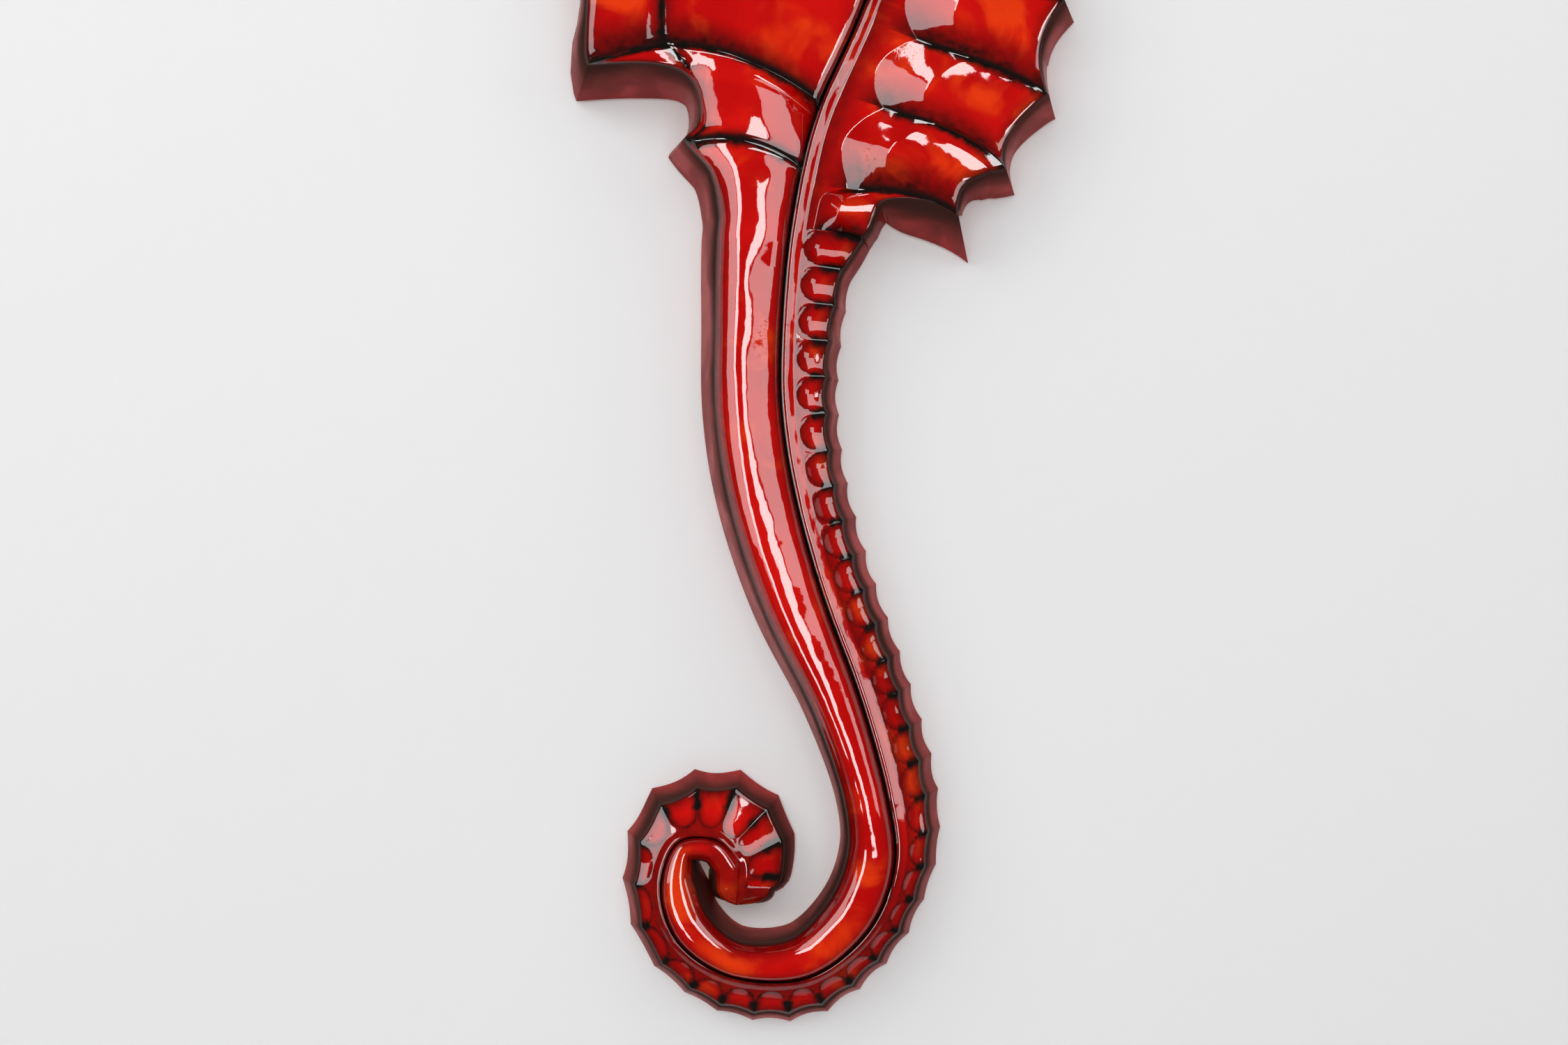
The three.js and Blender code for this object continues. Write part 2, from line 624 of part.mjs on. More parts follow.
// A strap folded round the ring's bar, with both layers screwed down: its side view cut by its front view.
function strapGeometry(x) {
  const tuck = 2 * STRAP_SHEET;
  const side = new THREE.Shape();
  const meet = Math.atan2(-Math.sqrt(loopRadius ** 2 - (loopRadius - tuck) ** 2), tuck - loopRadius);
  side.moveTo(0, -strapLength);
  side.lineTo(tuck, -strapLength);
  side.absarc(loopRadius, 0, loopRadius, meet, Math.PI, false);
  side.holes.push(roundHole(loopRadius, 0, loopHole));
  const folded = new THREE.ExtrudeGeometry(side, {
    depth: STRAP_WIDTH,
    bevelEnabled: false,
    curveSegments: 10,
  });
  const end = STRAP_WIDTH / 2;
  const turn = new THREE.Matrix4();
  turn.makeBasis(new THREE.Vector3(0, 1, 0), new THREE.Vector3(0, 0, 1), new THREE.Vector3(1, 0, 0));
  turn.setPosition(x - end, -battenFace, loopZ);
  folded.applyMatrix4(turn);
  const front = new THREE.Shape();
  front.moveTo(x + end, loopZ + loopRadius);
  front.lineTo(x - end, loopZ + loopRadius);
  front.absarc(x, loopZ - strapLength + end, end, Math.PI, Math.PI * 2);
  for (const drop of Object.values(screwDrops)) {
    front.holes.push(roundHole(x, loopZ - drop, SCREW_SHANK / 2 + SCREW_PLAY));
  }
  const blank = plateGeometry(front, battenFace - 2 * loopRadius, battenFace);
  return geometryOf(solidOf(folded).intersect(solidOf(blank)));
}

// A D-ring standing up from its bar, which lies in the strap's loop.
function ringGeometry(x) {
  const half = (RING_INNER_WIDTH + RING_WIRE) / 2;
  const top = RING_INNER_HEIGHT + RING_WIRE;
  const outline = new THREE.Shape();
  outline.moveTo(0, 0);
  outline.absarc(half - RING_CORNER, RING_CORNER, RING_CORNER, -Math.PI / 2, 0);
  outline.absellipse(0, top - half, half, half, 0, Math.PI);
  outline.absarc(-half + RING_CORNER, RING_CORNER, RING_CORNER, Math.PI, Math.PI * 1.5);
  outline.lineTo(0, 0);
  const steps = 36;
  const points = outline.getSpacedPoints(steps).slice(0, steps);
  const path = new THREE.CatmullRomCurve3(points.map((p) => new THREE.Vector3(p.x, 0, p.y)), true);
  const ring = new THREE.TubeGeometry(path, steps, wireRadius, 8, true);
  return ring.translate(x, -loopHeight, loopZ);
}

// A slotted pan-head wood screw, its head on the strap and its point in the batten.
function screwGeometry(x, z) {
  const shank = SCREW_SHANK / 2;
  const head = SCREW_HEAD / 2;
  const pointFrom = SCREW_SHANK - SCREW_LENGTH;
  const [edge, shoulder] = [SCREW_HEAD_HEIGHT * 0.4, SCREW_HEAD_HEIGHT * 0.85];
  const profile = [
    [0, -SCREW_LENGTH], [shank, pointFrom], [shank, 0], [head, 0], [head, edge], [head * 0.7, shoulder],
    [0, SCREW_HEAD_HEIGHT],
  ];
  const screw = new THREE.LatheGeometry(profile.map(([r, y]) => new THREE.Vector2(r, y)), 12);
  const slot = new THREE.BoxGeometry(2 * SCREW_HEAD, 2 * SCREW_SLOT_DEPTH, SCREW_SLOT_WIDTH);
  slot.translate(0, SCREW_HEAD_HEIGHT, 0);
  return geometryOf(solidOf(screw).subtract(solidOf(slot))).translate(x, -strapTop, z);
}

// Felt pads on the back: three on the rim round the hollow, three where the casting is solid.
function padGeometry(place, diameter) {
  const pad = new THREE.CylinderGeometry(diameter / 2, diameter / 2, PAD_THICKNESS, 20);
  return pad.translate(place.x, -PAD_THICKNESS / 2, place.y);
}

const keelRim = (station) => {
  const hollow = along(HOLLOW_KEEL, station);
  return bellyPlace(station, bellyReach(station) + (keelReach(station) + hollow) / 2 + RIM_PAD_DIAMETER / 4);
};
const pads = {
  snout_pad: [backPlace(1.6, 0), BROAD_PAD_DIAMETER],
  nape_pad: [backPlace(6.25, drawn(23)), RIM_PAD_DIAMETER],
  belly_pad: [keelRim(10.1), RIM_PAD_DIAMETER],
  fin_pad: [backPlace(11.95, drawn(72)), RIM_PAD_DIAMETER],
  tail_pad: [keelRim(17.5), RIM_PAD_DIAMETER],
  curl_pad: [backPlace(28.6, drawn(10)), BROAD_PAD_DIAMETER],
};

// The assembly

const plaque = new THREE.Group();
plaque.position.set(-hangX, 0, -hangZ);

function addPiece(name, geometry, finish) {
  const mesh = new THREE.Mesh(geometry, new THREE.MeshStandardMaterial(finish));
  mesh.name = name;
  plaque.add(mesh);
}

addPiece("ceramic_body", castingGeometry(), GLAZE);
addPiece("hanger_batten", battenGeometry(), BEECH);
addPiece("batten_bed_left", bedGeometry(-1), ADHESIVE);
addPiece("batten_bed_right", bedGeometry(1), ADHESIVE);
for (const [side, x] of Object.entries(hangerXs)) {
  addPiece(`${side}_hanger_strap`, strapGeometry(x), ZINC_STEEL);
  addPiece(`${side}_hanger_ring`, ringGeometry(x), ZINC_STEEL);
  for (const [level, drop] of Object.entries(screwDrops)) {
    addPiece(`${side}_${level}_screw`, screwGeometry(x, loopZ - drop), ZINC_STEEL);
  }
}
for (const [name, [place, diameter]] of Object.entries(pads)) {
  addPiece(name, padGeometry(place, diameter), FELT);
}

const part = new THREE.Group();
part.add(plaque);

export default part;
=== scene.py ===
"""Seahorse wall plaque: the glazed casting, its hanging hardware and a plain studio.

The casting is drawn in millimetres: x and z across the wall, heights out from the wall. Every mesh is
made in the metres of the part's frame, where the front faces -Y and the wall is the plane y = 0.
"""

from __future__ import annotations

import json
import logging
import math
from dataclasses import dataclass, field
from enum import Enum
from typing import NamedTuple

import bmesh
import bpy
import numpy as np
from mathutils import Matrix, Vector

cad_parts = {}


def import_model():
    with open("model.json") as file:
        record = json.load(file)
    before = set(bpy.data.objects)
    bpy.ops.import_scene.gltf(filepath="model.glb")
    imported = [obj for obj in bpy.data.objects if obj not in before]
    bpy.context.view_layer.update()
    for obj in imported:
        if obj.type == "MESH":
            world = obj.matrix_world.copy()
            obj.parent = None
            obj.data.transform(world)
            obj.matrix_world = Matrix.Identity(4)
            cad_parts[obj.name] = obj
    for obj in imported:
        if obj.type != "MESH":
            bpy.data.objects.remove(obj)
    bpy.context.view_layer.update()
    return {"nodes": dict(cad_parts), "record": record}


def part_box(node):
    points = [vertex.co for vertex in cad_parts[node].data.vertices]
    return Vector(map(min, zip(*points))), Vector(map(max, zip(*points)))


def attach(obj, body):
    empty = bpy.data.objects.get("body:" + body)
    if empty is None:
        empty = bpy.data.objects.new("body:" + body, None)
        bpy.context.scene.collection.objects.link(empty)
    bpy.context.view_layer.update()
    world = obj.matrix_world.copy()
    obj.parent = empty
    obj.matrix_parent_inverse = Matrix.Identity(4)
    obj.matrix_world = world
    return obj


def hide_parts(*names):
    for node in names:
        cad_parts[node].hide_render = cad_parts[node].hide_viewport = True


LOG = logging.getLogger("seahorse_plaque")
MM = 0.001
# The part's origin in the drawing
HANG_X = 7.6
HANG_Z = 297.0
# Reach of the belly's edge where it has no web
PLAIN_EDGE = 2.2

Array = np.ndarray
Colour = tuple[float, float, float]
Material = bpy.types.Material
Node = bpy.types.Node
Piece = bpy.types.Object
Socket = bpy.types.NodeSocket
Source = Socket | float | Colour | str


class Mark(Enum):
    """Names of the values that the casting's mesh carries for its glaze."""

    LINE = "line_mm"
    # Glaze that runs dark beside lines and edges, and painted shade on the scoops' inner sides
    SHADE = "glaze_shade"
    WALL = "draft_wall"
    BARE = "bare_clay"
    EYE = "eye_ball"
    WARM = "warm_glaze"


# Curves and edges


class Ramp(NamedTuple):
    """A smooth rise from 0 at low to 1 at high."""

    low: float
    high: float

    def __call__(self, value: Array) -> Array:
        """The rise at each value."""
        t = np.clip((value - self.low) / (self.high - self.low), 0, 1)
        return t * t * (3 - 2 * t)


class Bell(NamedTuple):
    """A rise beside a line: its height on the line, and the width over which it dies away."""

    height: float
    width: float

    def __call__(self, distance: Array) -> Array:
        """The rise at each distance from the line."""
        return self.height * np.exp(-((distance / self.width) ** 2))


class Profile:
    """A smooth curve of one value against the station along the groove."""

    def __init__(self, *pairs: tuple[float, float]) -> None:
        """Keep the pairs, and work out the slopes.

        Args:
            *pairs: the station and the value of each knot.
        """
        knots, values = np.pad(np.array(pairs, float).T, ((0, 0), (1, 1)), mode="edge")
        self.knots, self.values = knots[1:-1], values[1:-1]
        self.slopes = (values[2:] - values[:-2]) / (knots[2:] - knots[:-2])

    def __call__(self, station: Array) -> Array:
        """Read the curve.

        Args:
            station: stations along the groove.

        Returns:
            The value at each station, held beyond the ends.
        """
        x = np.clip(station, self.knots[0], self.knots[-1])
        i = np.searchsorted(self.knots[1:-1], x, side="left")
        span = self.knots[i + 1] - self.knots[i]
        s = (x - self.knots[i]) / span
        bend = self.slopes[i] * s * (1 - s) ** 2 - self.slopes[i + 1] * s**2 * (1 - s)
        rise = self.values[i + 1] - self.values[i]
        return self.values[i] + rise * s * s * (3 - 2 * s) + span * bend


class Spike(NamedTuple):
    """A spike of an edge: its station, the reach of its tip and web, and how steeply the edge falls off."""

    at: float
    tip: float
    web: float
    fall: float = 2.0


class SpikedEdge:
    """An edge whose webs hang in hollow curves between spikes."""

    STEEP = 4.0

    def __init__(self, *spikes: Spike) -> None:
        """Keep the spikes, and which of them fall off steeply."""
        self.at, self.tip, self.web, self.fall = np.array(spikes, float).T
        self.steep = self.fall > self.STEEP

    def between(self, station: Array) -> tuple[Array, Array]:
        """The spike before each station, and the share of the way from it to the next one."""
        i = np.searchsorted(self.at[1:-1], station, side="right")
        return i, (station - self.at[i]) / (self.at[i + 1] - self.at[i])

    def reach(self, station: Array) -> Array:
        """Read the edge.

        Args:
            station: stations along the groove.

        Returns:
            The edge's reach at each station.
        """
        i, share = self.between(station)
        from_before = (self.tip[i] - self.web[i]) * (1 - share) ** self.fall[i]
        return self.web[i] + from_before + (self.tip[i + 1] - self.web[i]) * share**2


def hump(share: Array) -> Array:
    """Rise from 0 at the start to 1 half way, and fall to 0 again."""
    return 4 * share * (1 - share)


def cosine_shares(count: int) -> Array:
    """Shares from 0 to 1 that lie closer together near both ends."""
    return (1 - np.cos(np.linspace(0, math.pi, count))) / 2


def unit(vectors: Array) -> Array:
    """Vectors shortened to a length of 1."""
    return vectors / np.linalg.norm(vectors, axis=-1, keepdims=True)


def steps(path: Array) -> Array:
    """Lengths of the steps along a path, or along paths side by side, with 0 for the first point."""
    return np.concatenate([np.zeros((1, *path.shape[1:-1])), np.linalg.norm(np.diff(path, axis=0), axis=-1)])


def raised(places: Array, height: Array | float) -> Array:
    """Places in the drawing, with their height last."""
    return np.concatenate([places, np.broadcast_to(height, places.shape[:-1])[..., None]], axis=-1)


def rounding(from_edge: Array, radius: Array | float) -> Array:
    """How far the front has rolled down at a distance from its edge, for a given radius."""
    inside = np.clip(radius - from_edge, 0, radius)
    return radius - np.sqrt(np.maximum(radius**2 - inside**2, 0))


def thinned(wanted: list[float], ribs: Array, closest: float) -> Array:
    """Drop stations that crowd another one, but never a rib's.

    Args:
        wanted: stations in any order.
        ribs: stations that are kept.
        closest: how close two stations may lie.

    Returns:
        The stations that are left, in order.
    """
    kept: list[float] = []
    for station in sorted(set(wanted)):
        crowded = bool(kept) and station - kept[-1] < closest
        if crowded and station not in ribs:
            continue
        if crowded and kept[-1] not in ribs:
            kept.pop()
        kept.append(station)
    return np.array(kept)


@dataclass(frozen=True)
class GrooveLine:
    """The groove between belly side and back, from the mouth to the tail tip, one point for each station."""

    points: tuple[tuple[float, float], ...]
    near_sight: float = 0.02
    curl_sight: float = 0.45
    curl: Ramp = Ramp(26, 27.4)

    def _place(self, station: Array) -> Array:
        """Follow the line.

        Args:
            station: stations along the groove.

        Returns:
            The place at each station, held at both ends.
        """
        p = np.array(self.points, float)
        last = len(p) - 1
        station = np.clip(station, 0, last)
        i = np.clip(np.floor(station).astype(int), 0, last - 1)
        t = (station - i)[..., None]
        p0, p1, p2, p3 = p[np.maximum(i - 1, 0)], p[i], p[i + 1], p[np.minimum(i + 2, last)]
        v0, v1 = (p2 - p0) / 2, (p3 - p1) / 2
        cubic = 2 * p1 - 2 * p2 + v0 + v1
        square = -3 * p1 + 3 * p2 - 2 * v0 - v1
        return cubic * t**3 + square * t**2 + v0 * t + p1

    def frame(self, station: Array) -> tuple[Array, Array, Array]:
        """Places and directions on the groove.

        Args:
            station: stations along the groove.

        Returns:
            The point at each station, the direction towards the tail and the one towards the back.
        """
        sight = self.near_sight + (self.curl_sight - self.near_sight) * self.curl(station)
        tailwards = unit(self._place(station + sight) - self._place(station - sight))
        backwards = np.stack([-tailwards[..., 1], tailwards[..., 0]], axis=-1)
        return self._place(station), tailwards, backwards


# The casting


@dataclass(frozen=True)
class CastingShape:
    """Outline, widths and heights of the seahorse, in millimetres against the station along its groove."""

    # Outline
    groove: GrooveLine = GrooveLine((
        (-95.5, 379), (-74.5, 385.5), (-51.5, 392), (-30, 399), (-7, 403), (15, 397), (32.5, 379.5),
        (43, 355), (48, 325), (49, 292.5), (46.5, 258), (39.5, 226), (28.5, 195), (13.8, 162.6),
        (6.8, 138.2), (1.6, 108.4), (-1.1, 74.5), (-1.1, 44.7), (3.8, 12.2), (14.4, -27), (29.3, -67.8),
        (40, -106), (43.2, -134.6), (32.8, -160.5), (9.6, -178.3), (-19.9, -178.3), (-41, -165.2),
        (-48.3, -144.7), (-42.3, -126.2), (-27, -124.6), (-18.2, -134), (-17.8, -143.5),
    ))
    tail_tip: float = 31.0
    belly: Profile = Profile(
        (0, 9.2), (1, 7.3), (2, 7.3), (3, 11.5), (4, 23), (5, 30), (6, 35), (7, 46), (8, 68), (9, 86),
        (10, 93.4), (11, 90), (12, 82), (12.95, 66.2), (13.1, 55), (13.25, 47), (13.5, 41.5), (13.75, 39.8),
        (14, 42.5), (14.3, 32.5), (14.75, 26.5), (15, 25.8), (16, 23.8), (18, 23.6), (19, 21.5), (20, 17),
        (21, 14.8), (22, 17), (23, 17.3), (24, 14.6), (25, 11.8), (26, 13.4), (27, 12.4), (27.5, 9.8),
        (28, 7.7), (28.5, 7.5), (29.3, 8.2), (30.2, 8.2), (31, 7.6),
    )
    keel: SpikedEdge = SpikedEdge(
        Spike(0, PLAIN_EDGE, PLAIN_EDGE), Spike(6, PLAIN_EDGE, PLAIN_EDGE), Spike(7.2, 12, 6, 2.4),
        Spike(8.65, 25, 16, 2.4), Spike(10.1, 32, 22), Spike(11.55, 32, 22.5), Spike(13, 26, PLAIN_EDGE, 20),
        Spike(14, 4.5, PLAIN_EDGE, 8), Spike(15, PLAIN_EDGE, PLAIN_EDGE), Spike(31, PLAIN_EDGE, PLAIN_EDGE),
    )
    keel_droop: Profile = Profile((7, 0), (9, 0.3), (11, 0.55), (13, 0.7), (13.12, 0.7), (13.4, 0))
    plate_bow: Profile = Profile((6, 0), (9, 3), (12, 5), (14, 4), (15, 0))
    plates_from: float = 6.6
    plates_to: float = 14.5
    fin: tuple[Spike, ...] = (
        Spike(0, 9.5, 7), Spike(3, 15, 14), Spike(3.5, 23, 18, 2.4), Spike(4.05, 36, 27, 2.4),
        Spike(4.55, 46, 32, 2.4), Spike(5.05, 46, 30, 2.4), Spike(5.6, 36, 24, 2.4), Spike(6.25, 30, 21, 2.4),
        Spike(6.9, 27, 20, 2.4), Spike(7.55, 27, 21, 2.4), Spike(8.2, 31, 25, 2.4), Spike(8.95, 45, 38, 2.4),
        Spike(9.7, 57, 48, 2.4), Spike(10.45, 66, 57, 2.4), Spike(11.05, 73.5, 64.5), Spike(11.95, 80, 66.5),
        Spike(12.78, 77, 59), Spike(14.22, 64, 33, 14),
    )
    fin_bow: Profile = Profile((6, 0), (10, 2), (12, 2), (12.8, 5), (14.2, 4.5), (14.5, 2.5), (15, 0))
    claw_length: Profile = Profile((14.15, 0), (14.2, 0), (14.22, 64), (14.5, 45), (14.78, 0))
    scoops_from: float = 14.78
    scoop_step: float = 0.01
    scoop_pitch: Profile = Profile(
        (14.78, 14.2), (24, 14.2), (25.8, 14.2), (26.2, 17), (28.2, 17), (28.5, 16), (29.4, 16), (29.8, 14.4),
        (31, 14.4),
    )
    scoop_reach: Profile = Profile(
        (14.78, 29), (15.25, 22.2), (15.75, 20.6), (16.2, 19.3), (17, 18.3), (18, 17.2), (19, 17.2),
        (20, 16.4), (21, 16.5), (21.7, 14.3), (22.4, 11.8), (23, 12), (23.6, 13), (24.2, 15.2), (24.8, 14.8),
        (25.4, 12.8), (26, 11.8), (27, 11.2), (27.7, 13.5), (28.15, 16.5), (28.7, 20), (29.25, 22.5),
        (29.7, 21.5), (30.05, 19.5), (30.3, 18), (30.65, 16.2), (31, 13.4),
    )
    scallop_depth: float = 2.8

    # Heights of the belly side
    rim: Profile = Profile(
        (0, 20), (3, 23), (5, 26), (7, 28), (8.2, 28), (13, 28), (14, 28), (16, 27), (20, 25), (23, 22),
        (26, 21), (31, 19),
    )
    crown: Profile = Profile(
        (0, 5), (3, 6), (5, 8), (8, 5), (12.9, 5), (13.4, 6.8), (14, 7), (16, 7), (20, 7), (24, 5), (28, 3.5),
        (31, 2),
    )
    crown_fullness: float = 0.7
    crest: Profile = Profile(
        (0, 0.5), (12.95, 0.5), (13.15, 0.64), (14.3, 0.64), (15, 0.65), (20, 0.66), (23, 0.58), (26, 0.5),
        (31, 0.5),
    )
    crest_radius: Profile = Profile(
        (0, 30), (6, 60), (8, 500), (12.95, 500), (13.1, 120), (13.2, 75), (13.9, 70), (14.6, 45), (21, 45),
        (23, 34), (26, 18), (31, 8),
    )
    roof_slope: Profile = Profile(
        (0, 0), (12.95, 0), (13.2, 0.1), (13.7, 0.1), (14.1, 0.03), (14.9, 0.03), (15.4, 0.15), (16, 0.13),
        (17.2, 0.17), (17.9, 0.12), (18.6, 0.08), (19.5, 0.1), (20.4, 0.15), (21.5, 0.12), (23, 0.05),
        (25, 0), (31, 0),
    )
    roof_ease: float = 0.9
    ridge_level: Profile = Profile(
        (0, 0), (6, 0), (8, 0.8), (13, 0.8), (14, 0.5), (15, 0.42), (24, 0.4), (31, 0.3),
    )
    ridge_fall: float = 3.0
    ridge_bead: Bell = Bell(1.2, 1.7)
    rib_bead: Bell = Bell(1.0, 1.3)
    belly_round: Profile = Profile(
        (0, 2.5), (6, 1.8), (13.6, 1.8), (14.6, 3.2), (23, 4.2), (27, 3.6), (31, 3),
    )
    keel_dish: float = 0.5
    keel_fall: float = 0.35
    keel_fall_late: float = 7.0
    edge_drop: float = 0.8
    head_round: Profile = Profile((0, 1), (4.8, 1), (6.6, 0), (31, 0))

    # Groove, and the strip beside it
    groove_fall: Profile = Profile((0, 4), (6, 6), (8, 60), (12.9, 60), (13.6, 16), (14.6, 6), (31, 5))
    groove_depth: float = 0.6
    groove_width: float = 1.3
    groove_wall: float = 0.5
    groove_ends: Ramp = Ramp(29.2, 30.2)
    strip: Profile = Profile(
        (0, 3), (4, 4), (9, 5), (12, 5.5), (14.3, 6), (16.3, 6), (21, 6), (23, 3.8), (26, 3.8), (28, 4),
        (31, 2.5),
    )
    strip_rise: Profile = Profile(
        (0, 0), (0.05, 0.85), (0.1, 1.15), (0.32, 1.2), (0.4, 1.06), (0.5, 0.76), (0.75, -0.06), (1, -0.89),
    )

    # Dishes of the fin and the scoops
    fin_dish: float = 7.0
    fin_shoulder: float = 0.13
    fin_chamfer: float = 0.44
    fin_bend_swing: float = 0.12
    fin_swing_ends: Ramp = Ramp(14, 14.78)
    fin_rib_slope: Ramp = Ramp(0.22, 0.6)
    broad_web: float = 28.0
    dish_rise: float = 0.45
    dish_start: tuple[float, float] = (0.05, 0.62)
    scoop_dish: Profile = Profile(
        (14.78, 3.2), (16, 2.8), (18, 2.4), (20, 1.5), (26, 1.3), (28, 0.8), (31, 0.6),
    )
    scoop_fullness: float = 1.25
    scoop_rise: float = 0.1
    scoop_slope: Profile = Profile(
        (14.78, 0.43), (17, 0.45), (18.3, 0.76), (24, 0.76), (25.5, 0.6), (27, 0.45), (31, 0.4),
    )
    back_round: float = 1.8

    # Walls and hollow back
    belly_draft: Profile = Profile(
        (0, 0.2), (12.5, 0.18), (12.9, 0.34), (13, 0.32), (13.08, 0.3), (13.25, 0.2), (13.8, 0.18),
        (14, 0.27), (16, 0.24), (19, 0.2), (21.5, 0.12), (24, 0.12), (27, 0.2), (27.5, 0.12), (27.9, 0),
        (28.3, 0), (29.4, 0.06), (30, 0.12), (31, 0.16),
    )
    back_draft: Profile = Profile(
        (0, 0.2), (13, 0.21), (13.6, 0.22), (14.05, 0.13), (14.19, 0.06), (14.23, 0.42), (14.27, 0.28),
        (14.33, 0.2), (14.45, 0.18), (14.7, 0.16), (16, 0.18), (22, 0.22), (26, 0.24), (28.5, 0.28),
        (31, 0.2),
    )
    web_draft_swing: float = 0.14
    foot_height: float = 1.5
    hollow_keel: Profile = Profile(
        (6, -1), (7, 1), (8, 5), (9, 9), (10, 12), (12, 12), (12.6, 7), (13.1, -3), (13.4, -1),
    )
    hollow_back: Profile = Profile(
        (3, 10), (4.5, 24), (5.3, 22), (6.2, 16), (8, 17), (9, 26), (10, 42), (11, 56), (12, 62), (13, 60),
        (13.7, 50), (14.3, 33), (14.8, 21), (15.3, 17.5), (16, 15.5), (18, 13.5), (20, 12.5), (22, 9),
        (24, 10.5), (25.5, 9),
    )
    hollow_back_share: float = 0.8
    hollow_start: Ramp = Ramp(3.6, 3.76)
    hollow_end: Ramp = Ramp(25.24, 25.4)
    hollow_taper: float = 3.5
    roof_thickness: float = 8.8

    # Mouth, tail tip and eye
    mouth_dimple: float = 3.0
    tail_tip_bulge: float = 7.5
    tail_tip_fullness: float = 0.35
    eye_station: float = 4.0
    eye_radius: float = 7.0
    eye_sink: float = 3.5
    eye_ring: float = 2.5
    eye_ring_sink: float = 1.8
    eye_line: float = 0.6

    # Waves of the glaze: width along x, width along z and start
    wave_height: float = 0.064
    waves: tuple[tuple[float, float, float], ...] = ((3.1, 7.3, 0.4), (5.7, -4.4, 1.9), (13, 9.1, 3.1))

    def back_edge(self) -> SpikedEdge:
        """The back's whole edge: crest, fin, scoops a pitch apart, and a plain end after the last rib.

        Returns:
            The edge.
        """
        stations = np.arange(self.scoops_from, self.tail_tip - self.scoop_step, self.scoop_step)
        point, _, backwards = self.groove.frame(stations)
        reach, pitches = self.scoop_reach(stations), self.scoop_pitch(stations)
        passed = steps(point + backwards * reach[:, None])
        ribs: list[Spike] = []
        run = pitches[0]
        for station, tip, step, pitch in zip(stations, reach, passed, pitches):
            run += step
            if run >= pitch:
                run -= pitch
                ribs.append(Spike(station, tip, tip - self.scallop_depth))
        end = float(self.scoop_reach(np.array(self.tail_tip)))
        last = ribs.pop()
        return SpikedEdge(*self.fin, *ribs, last._replace(web=last.tip), Spike(self.tail_tip, end, end))

    def belly_place(self, station: Array, reach: Array) -> Array:
        """A place on the belly side, where ribs bow and the keel web droops.

        Args:
            station: stations along the groove.
            reach: distances from the groove.

        Returns:
            The place in the drawing, x and z last.
        """
        point, tailwards, backwards = self.groove.frame(station)
        ridge = self.belly(station)
        bow = self.plate_bow(station) * hump(np.minimum(reach / ridge, 1))
        droop = self.keel_droop(station) * np.maximum(reach - ridge, 0)
        return point - backwards * reach[..., None] + tailwards * (droop - bow)[..., None]

    def back_place(self, station: Array, reach: Array, edge: Array) -> Array:
        """A place on the back's side, where fin ribs bow most at two thirds of their length.

        Args:
            station: stations along the groove.
            reach: distances from the groove.
            edge: the edge's reach at those stations.

        Returns:
            The place in the drawing, x and z last.
        """
        point, tailwards, backwards = self.groove.frame(station)
        share = np.minimum(reach / np.maximum(edge, self.claw_length(station)), 1)
        bow = self.fin_bow(station) * (27 / 4) * share * share * (1 - share)
        return point + backwards * reach[..., None] - tailwards * bow[..., None]


@dataclass(frozen=True)
class GlazeFlow:
    """Where the glaze runs dark, warm or thin, and the scoops' painted shade: lines by distance, shades by
    strength and width.
    """

    no_line: float = 50.0
    plain_line: float = 8.0
    edge_line: float = 1.1
    ridge_line: float = 0.7
    rib_line: float = 0.36
    web_rib_line: float = 0.4
    groove_line: float = 3.4
    line_fade: float = 3.0
    fin_fade: Ramp = Ramp(0.04, 0.3)
    scoop_fade: Ramp = Ramp(0.15, 0.55)
    to_rib: Ramp = Ramp(0.8, 1)
    keel_edge: Bell = Bell(0.85, 3.2)
    keel_ridge: Bell = Bell(0.7, 2.5)
    plate_groove: Bell = Bell(0.8, 2.6)
    plate_ridge: Bell = Bell(0.75, 4)
    belly_edge: Bell = Bell(0.9, 4)
    plate_warmth: float = 0.5
    curl_warmth: Ramp = Ramp(21, 23.5)
    tail_end: Ramp = Ramp(28.4, 29.4)
    tail_end_shade: float = 0.5
    strip_groove: Bell = Bell(0.9, 2.4)
    strip_late: Ramp = Ramp(21.5, 23.5)
    web_late: Ramp = Ramp(20.5, 22.5)
    late_stain: float = 0.62
    web_start: Bell = Bell(0.6, 6)
    web_edge: Bell = Bell(0.85, 3.5)
    web_lower: Ramp = Ramp(0.45, 1)
    web_begins: Ramp = Ramp(0, 0.25)
    web_warm: Ramp = Ramp(0.2, 0.6)
    warm_shift: float = 1.15
    late_cooling: float = 0.7
    # Painted shade in the scoops: a ring inside the rim, where the glaze also breaks dark, and a darkening at
    # each scoop's start
    scoop_border: Bell = Bell(0.85, 0.32)
    late_border: Bell = Bell(0.15, 0.32)
    beside_scoop: float = 0.2
    scoop_start: float = 0.6
    scoop_clears: Ramp = Ramp(0.35, 0.8)
    burnt_edge: Bell = Bell(0.05, 0.8)
    least_wall: float = 0.06
    belly_wall: Profile = Profile((0, 0.8), (13.3, 0.75), (14.2, 1), (21, 1), (23, 0.5), (31, 0.4))
    back_wall: Profile = Profile((0, 0.7), (13, 0.85), (14.3, 0.85), (15, 1), (22, 1), (25, 0.7), (31, 0.45))


